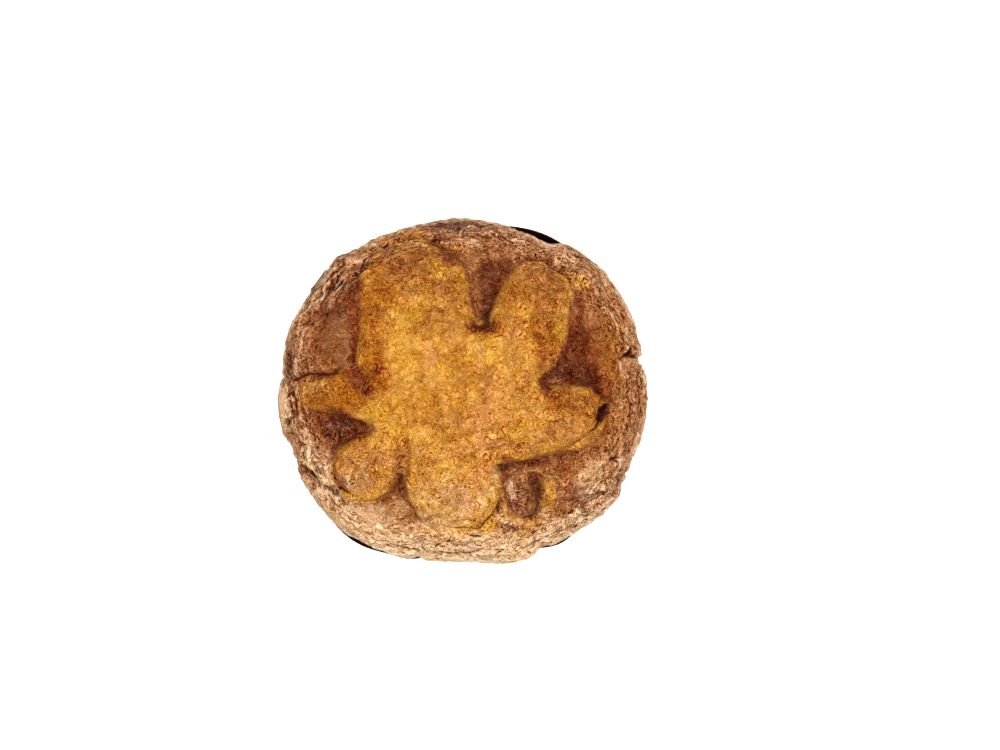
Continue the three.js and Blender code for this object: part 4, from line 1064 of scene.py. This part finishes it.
def paper_material(settings):
    """Dyed kraft baking paper: matt fibres outside, with painted shade in the flutes' valleys, and darker
    near the rim, partly from butter that soaks in and partly painted shade under the crown's overhang.
    """
    material, nodes, mm = new_material("baking_paper")
    upright = nodes.add("ShaderNodeMapping", None, {"Vector": mm, "Scale": (1, 1, 0.25)})
    fibres = nodes.grain(upright, 0.8, 4, 0.7)
    wavy = nodes.maths("MULTIPLY_ADD", nodes.grain(mm, 14, 3), 40.0, nodes.part(mm, "Z"))
    # Darker near the rim: partly paper that butter soaks into, partly painted shade under the crown's
    # overhang.
    soaked_and_shaded = nodes.spread(wavy, RIM_Z + 2, RIM_Z + 26)
    # Painted shade: the valleys of the flutes are darkened, as if in their own shadow.
    flute_valley_shade = nodes.spread(nodes.wave(mm, float(settings.flutes)), -1.0, 0.6, 0.55, 1.1, kind="LINEAR")
    grain_and_flute_shade = nodes.times(nodes.spread(fibres, 0.3, 0.7, 0.72, 1.3, kind="LINEAR"), flute_valley_shade)
    tinted = nodes.scaled(nodes.mix(soaked_and_shaded, settings.paper, settings.grease_and_shade), grain_and_flute_shade)
    rough = nodes.spread(soaked_and_shaded, 0.0, 1.0, 0.82, 0.66, kind="LINEAR")
    bump = nodes.add("ShaderNodeBump", None, {"Height": fibres, "Distance": 0.12 * MM, "Strength": 0.7})
    surface = nodes.add("ShaderNodeBsdfPrincipled", None,
                        {"Base Color": tinted, "Roughness": rough, "Normal": bump, "Specular IOR Level": 0.2})
    nodes.add("ShaderNodeOutputMaterial", None, {"Surface": surface})
    return material


def floor_material(settings):
    """Opal acrylic table lit from below: so pale and even that it swallows shadows."""
    material, nodes, mm = new_material("opal_acrylic")
    rough = nodes.spread(nodes.grain(mm, 333, 2), 0.0, 1.0, 0.85, 0.95, kind="LINEAR")
    surface = nodes.add("ShaderNodeBsdfPrincipled", None,
                        {"Base Color": settings.floor_white, "Roughness": rough, "Specular IOR Level": 0.1,
                         "Emission Color": settings.floor_white, "Emission Strength": settings.floor_glow})
    nodes.add("ShaderNodeOutputMaterial", None, {"Surface": surface})
    return material


def new_geometry_tree(name, sockets):
    """The nodes of a new geometry tree with a mesh input and the named ones, and those inputs' sockets."""
    tree = bpy.data.node_groups.new(name, "GeometryNodeTree")
    for socket, kind in {"Geometry": "Geometry", **sockets, "Material": "Material"}.items():
        tree.interface.new_socket(socket, in_out="INPUT", socket_type="NodeSocket" + kind)
    tree.interface.new_socket("Geometry", in_out="OUTPUT", socket_type="NodeSocketGeometry")
    return Nodes(tree), tree.nodes.new("NodeGroupInput").outputs


def finished_tree(nodes, given, geometry):
    """The tree, once what it made is realized, given the material and sent out."""
    real = nodes.add("GeometryNodeRealizeInstances", None, {"Geometry": geometry})
    dressed = nodes.add("GeometryNodeSetMaterial", None, {"Geometry": real, "Material": given["Material"]})
    nodes.add("NodeGroupOutput", None, {"Geometry": dressed})
    return nodes.tree


def flute_tree():
    """Presses upright flutes into a round wall, as deep as its flute attribute says."""
    nodes, given = new_geometry_tree("Flutes", {"Count": "Int", "Depth": "Float"})
    place = nodes.add("GeometryNodeInputPosition")
    inward = nodes.maths("MULTIPLY_ADD", nodes.wave(place, given["Count"]), 0.5, -0.5)
    local = nodes.add("GeometryNodeInputNamedAttribute", {"data_type": "FLOAT"}, {"Name": "flute"})
    offset = nodes.scaled(nodes.outward(place), nodes.times(inward, nodes.times(given["Depth"], local)))
    pressed = nodes.add("GeometryNodeSetPosition", None, {"Geometry": given["Geometry"], "Offset": offset})
    return finished_tree(nodes, given, pressed)


def burr_tree():
    """Puts a small raised burr, as a punch leaves, on every point."""
    nodes, given = new_geometry_tree("Punched burrs", {"Radius": "Float", "Wire": "Float"})
    ring = nodes.add("GeometryNodeCurvePrimitiveCircle", None, {"Resolution": 10, "Radius": given["Radius"]})
    wire = nodes.add("GeometryNodeCurvePrimitiveCircle", None, {"Resolution": 4, "Radius": given["Wire"]})
    burr = nodes.add("GeometryNodeCurveToMesh", None, {"Curve": ring, "Profile Curve": wire})
    points = nodes.add("GeometryNodeMeshToPoints", None, {"Mesh": given["Geometry"]})
    placed = nodes.add("GeometryNodeInstanceOnPoints", None, {"Points": points, "Instance": burr})
    return finished_tree(nodes, given, placed)


def grown(blank, tree, values):
    """Runs a geometry tree on a blank object and returns the result as a plain mesh object."""
    modifier = blank.modifiers.new(tree.name, "NODES")
    modifier.node_group = tree
    for item in tree.interface.items_tree:
        if item.in_out == "INPUT" and item.name in values:
            modifier[item.identifier] = values[item.name]
    return baked(blank)


# ---- The paper case -----------------------------------------------------------------------------


def wall_blank(settings):
    """The wall's paper before fluting: rim, wall, rounded foot and the hem folded under."""
    count = settings.flutes * FLUTE_STEPS
    theta = 2 * math.pi * np.arange(count) / count
    circle = np.stack([np.cos(theta), np.sin(theta), 0 * theta], axis=1)
    from_seam = np.degrees(np.angle(np.exp(1j * (theta - SEAM_ANGLE))))
    glued = np.exp(-((from_seam / SEAM_SPREAD) ** 4))
    overlap = SEAM_STEP * ramp(from_seam, -SEAM_SPREAD - 0.3, -SEAM_SPREAD) * (1 - ramp(from_seam, 0, 6))
    waver = settings.rim_waver * noise(30 * circle, 9, 71)
    top = RIM_Z - RIM_DROP - settings.rim_waver
    rows = []  # radius, height, depth of the flutes, from the hem's inner edge up to the rim
    for inset in np.linspace(settings.hem, 0, 5):
        pleats = HEM_PLEAT * (0.5 - 0.5 * np.cos(settings.flutes * theta)) * ramp(inset, 0, settings.hem / 2)
        rows.append((FOOT_RADIUS - FOOT_CURVE - inset, pleats, 0))
    for turn in np.linspace(0.25, 1, 4) * math.pi / 2:
        rows.append((FOOT_RADIUS - FOOT_CURVE * (1 - math.sin(turn)), FOOT_CURVE * (1 - math.cos(turn)), 0))
    for share in WALL_SHARES:
        buckled = BUCKLE * noise(60 * circle + [0, 0, 60 * share], 26, 72) * math.sin(math.pi * share)
        radius = case_radius(share, theta) + overlap * ramp(share, 0.0, 0.04) + buckled
        depth = ramp(share, 0.03, 0.1) * (1 - 0.9 * ramp(share, 0.86, 0.98)) * (1 - 0.85 * glued)
        rows.append((radius, top * share + waver * ramp(share, 0.7, 1), depth))
    points = np.concatenate([circle * np.reshape(r, (-1, 1)) + [0, 0, 1] * np.reshape(z, (-1, 1))
                             for r, z, _ in rows])
    i = np.arange(count)
    n = (i + 1) % count
    quads = np.stack([i, n, n + count, i + count], axis=1)
    faces = np.concatenate([quads + level * count for level in range(len(rows) - 1)])
    blank = mesh_object("case_wall", points, faces)
    store(blank, "flute", np.concatenate([depth + 0 * theta for _, _, depth in rows]))
    return blank


def base_blank():
    """The round base that lies on the folded hem, its faces pointing down."""
    faces, start = disc_mesh(BASE_RINGS)
    ring, theta = disc_places(BASE_RINGS, start)
    radius = (FOOT_RADIUS - BASE_INSET) * ring / BASE_RINGS
    points = np.stack([radius * np.cos(theta), radius * np.sin(theta), 0 * theta], axis=1)
    points[:, 2] = BASE_Z + 0.1 * noise(points, 22, 73)
    return mesh_object("case_base", points, faces[:, ::-1])


def thickened(piece, thickness):
    """The piece as a plain mesh with the given thickness on its inner side, in mm."""
    solid = piece.modifiers.new("Paper", "SOLIDIFY")
    solid.thickness = thickness * MM
    solid.offset = -1
    return baked(piece)


def punch_points():
    """A mesh of one point for each steam hole of the base."""
    places = [
        (r * math.cos(2 * math.pi * k / count), r * math.sin(2 * math.pi * k / count), BASE_Z)
        for r, count in PUNCH_RINGS
        for k in range(count)
    ]
    return mesh_object("case_punches", places, [])


def dress(piece, node):
    """Hangs a piece under the root body and hides the solid that it stands for."""
    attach(piece, "root")
    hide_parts(node)


# ---- Operators and panel ------------------------------------------------------------------------


class PANETTONE_OT_loaf(bpy.types.Operator):
    """Builds the loaf with its scored crust"""

    bl_idname = "panettone.loaf"
    bl_label = "Loaf"

    def execute(self, context):
        settings = context.scene.panettone_loaf
        crust = loaf_mesh(settings)
        crust.data.materials.append(crust_material(settings))
        dress(crust, "loaf")
        return {"FINISHED"}


class PANETTONE_OT_case(bpy.types.Operator):
    """Builds the fluted paper case, its base and the raised burrs round its steam holes"""

    bl_idname = "panettone.case"
    bl_label = "Paper case"

    def execute(self, context):
        settings = context.scene.panettone_case
        paper = paper_material(settings)
        wall = grown(wall_blank(settings), flute_tree(),
                     {"Count": settings.flutes, "Depth": settings.flute_depth * MM, "Material": paper})
        base = base_blank()
        base.data.materials.append(paper)
        punches = grown(punch_points(), burr_tree(),
                        {"Radius": PUNCH_RADIUS * MM, "Wire": BURR_WIRE * MM, "Material": paper})
        for piece in (thickened(wall, settings.thickness), thickened(base, settings.thickness), punches):
            dress(piece, "paper_case")
        return {"FINISHED"}


class PANETTONE_OT_stage(bpy.types.Operator):
    """Sets up the pale floor, the soft studio light and the camera that looks down on the crown"""

    bl_idname = "panettone.stage"
    bl_label = "Stage"

    def execute(self, context):
        settings = context.scene.panettone_stage
        half = FLOOR_HALF
        floor = mesh_object("floor", [(-half, -half, 0), (half, -half, 0), (half, half, 0), (-half, half, 0)],
                            [(0, 1, 2, 3)])
        floor.data.materials.append(floor_material(settings))
        world = bpy.data.worlds.new("Studio")
        world.use_nodes = True
        surroundings = world.node_tree.nodes["Background"].inputs
        surroundings["Color"].default_value = (1, 1, 1, 1)
        surroundings["Strength"].default_value = settings.sky
        context.scene.world = world
        soft_light("Key", *KEY_BOX, settings.key_power)
        soft_light("Fill", *FILL_BOX, settings.fill_power)
        camera = bpy.data.objects.new("Camera", bpy.data.cameras.new("Camera"))
        camera.data.lens = LENS
        camera.data.sensor_width = SENSOR
        camera.location = (settings.camera_right * MM, settings.camera_far * MM,
                           (WIDE_Z + settings.camera_height) * MM)
        context.scene.collection.objects.link(camera)
        context.scene.camera = camera
        context.scene.view_settings.view_transform = "Standard"
        return {"FINISHED"}


def soft_light(name, place_mm, size_mm, power):
    """A square soft box turned towards the crown."""
    light = bpy.data.lights.new(name, "AREA")
    light.size = size_mm * MM
    light.energy = power
    made = bpy.data.objects.new(name, light)
    made.location = [p * MM for p in place_mm]
    aim = Vector((0, 0, WIDE_Z * MM)) - made.location
    made.rotation_euler = aim.to_track_quat("-Z", "Y").to_euler()
    bpy.context.scene.collection.objects.link(made)


class PANETTONE_PT_parts(bpy.types.Panel):
    """Lists the pieces and their settings"""

    bl_label = "Panettone"
    bl_idname = "PANETTONE_PT_parts"
    bl_space_type = "VIEW_3D"
    bl_region_type = "UI"
    bl_category = "Panettone"

    def draw(self, context):
        for operator, group in zip(OPERATORS, GROUPS):
            box = self.layout.box()
            box.operator(operator.bl_idname)
            settings = getattr(context.scene, group)
            for name in type(settings).__annotations__:
                box.prop(settings, name)


OPERATORS = (PANETTONE_OT_loaf, PANETTONE_OT_case, PANETTONE_OT_stage)
GROUPS = {
    "panettone_loaf": LoafSettings,
    "panettone_case": CaseSettings,
    "panettone_stage": StageSettings,
}


def register():
    for cls in (*GROUPS.values(), *OPERATORS, PANETTONE_PT_parts):
        bpy.utils.register_class(cls)
    for name, group in GROUPS.items():
        setattr(bpy.types.Scene, name, PointerProperty(type=group))


def unregister():
    for name in GROUPS:
        delattr(bpy.types.Scene, name)
    for cls in (PANETTONE_PT_parts, *reversed(OPERATORS), *GROUPS.values()):
        bpy.utils.unregister_class(cls)


def main():
    register()
    bpy.ops.panettone.stage()
    bpy.ops.panettone.loaf()
    bpy.ops.panettone.case()


if __name__ == "__main__":
    main()
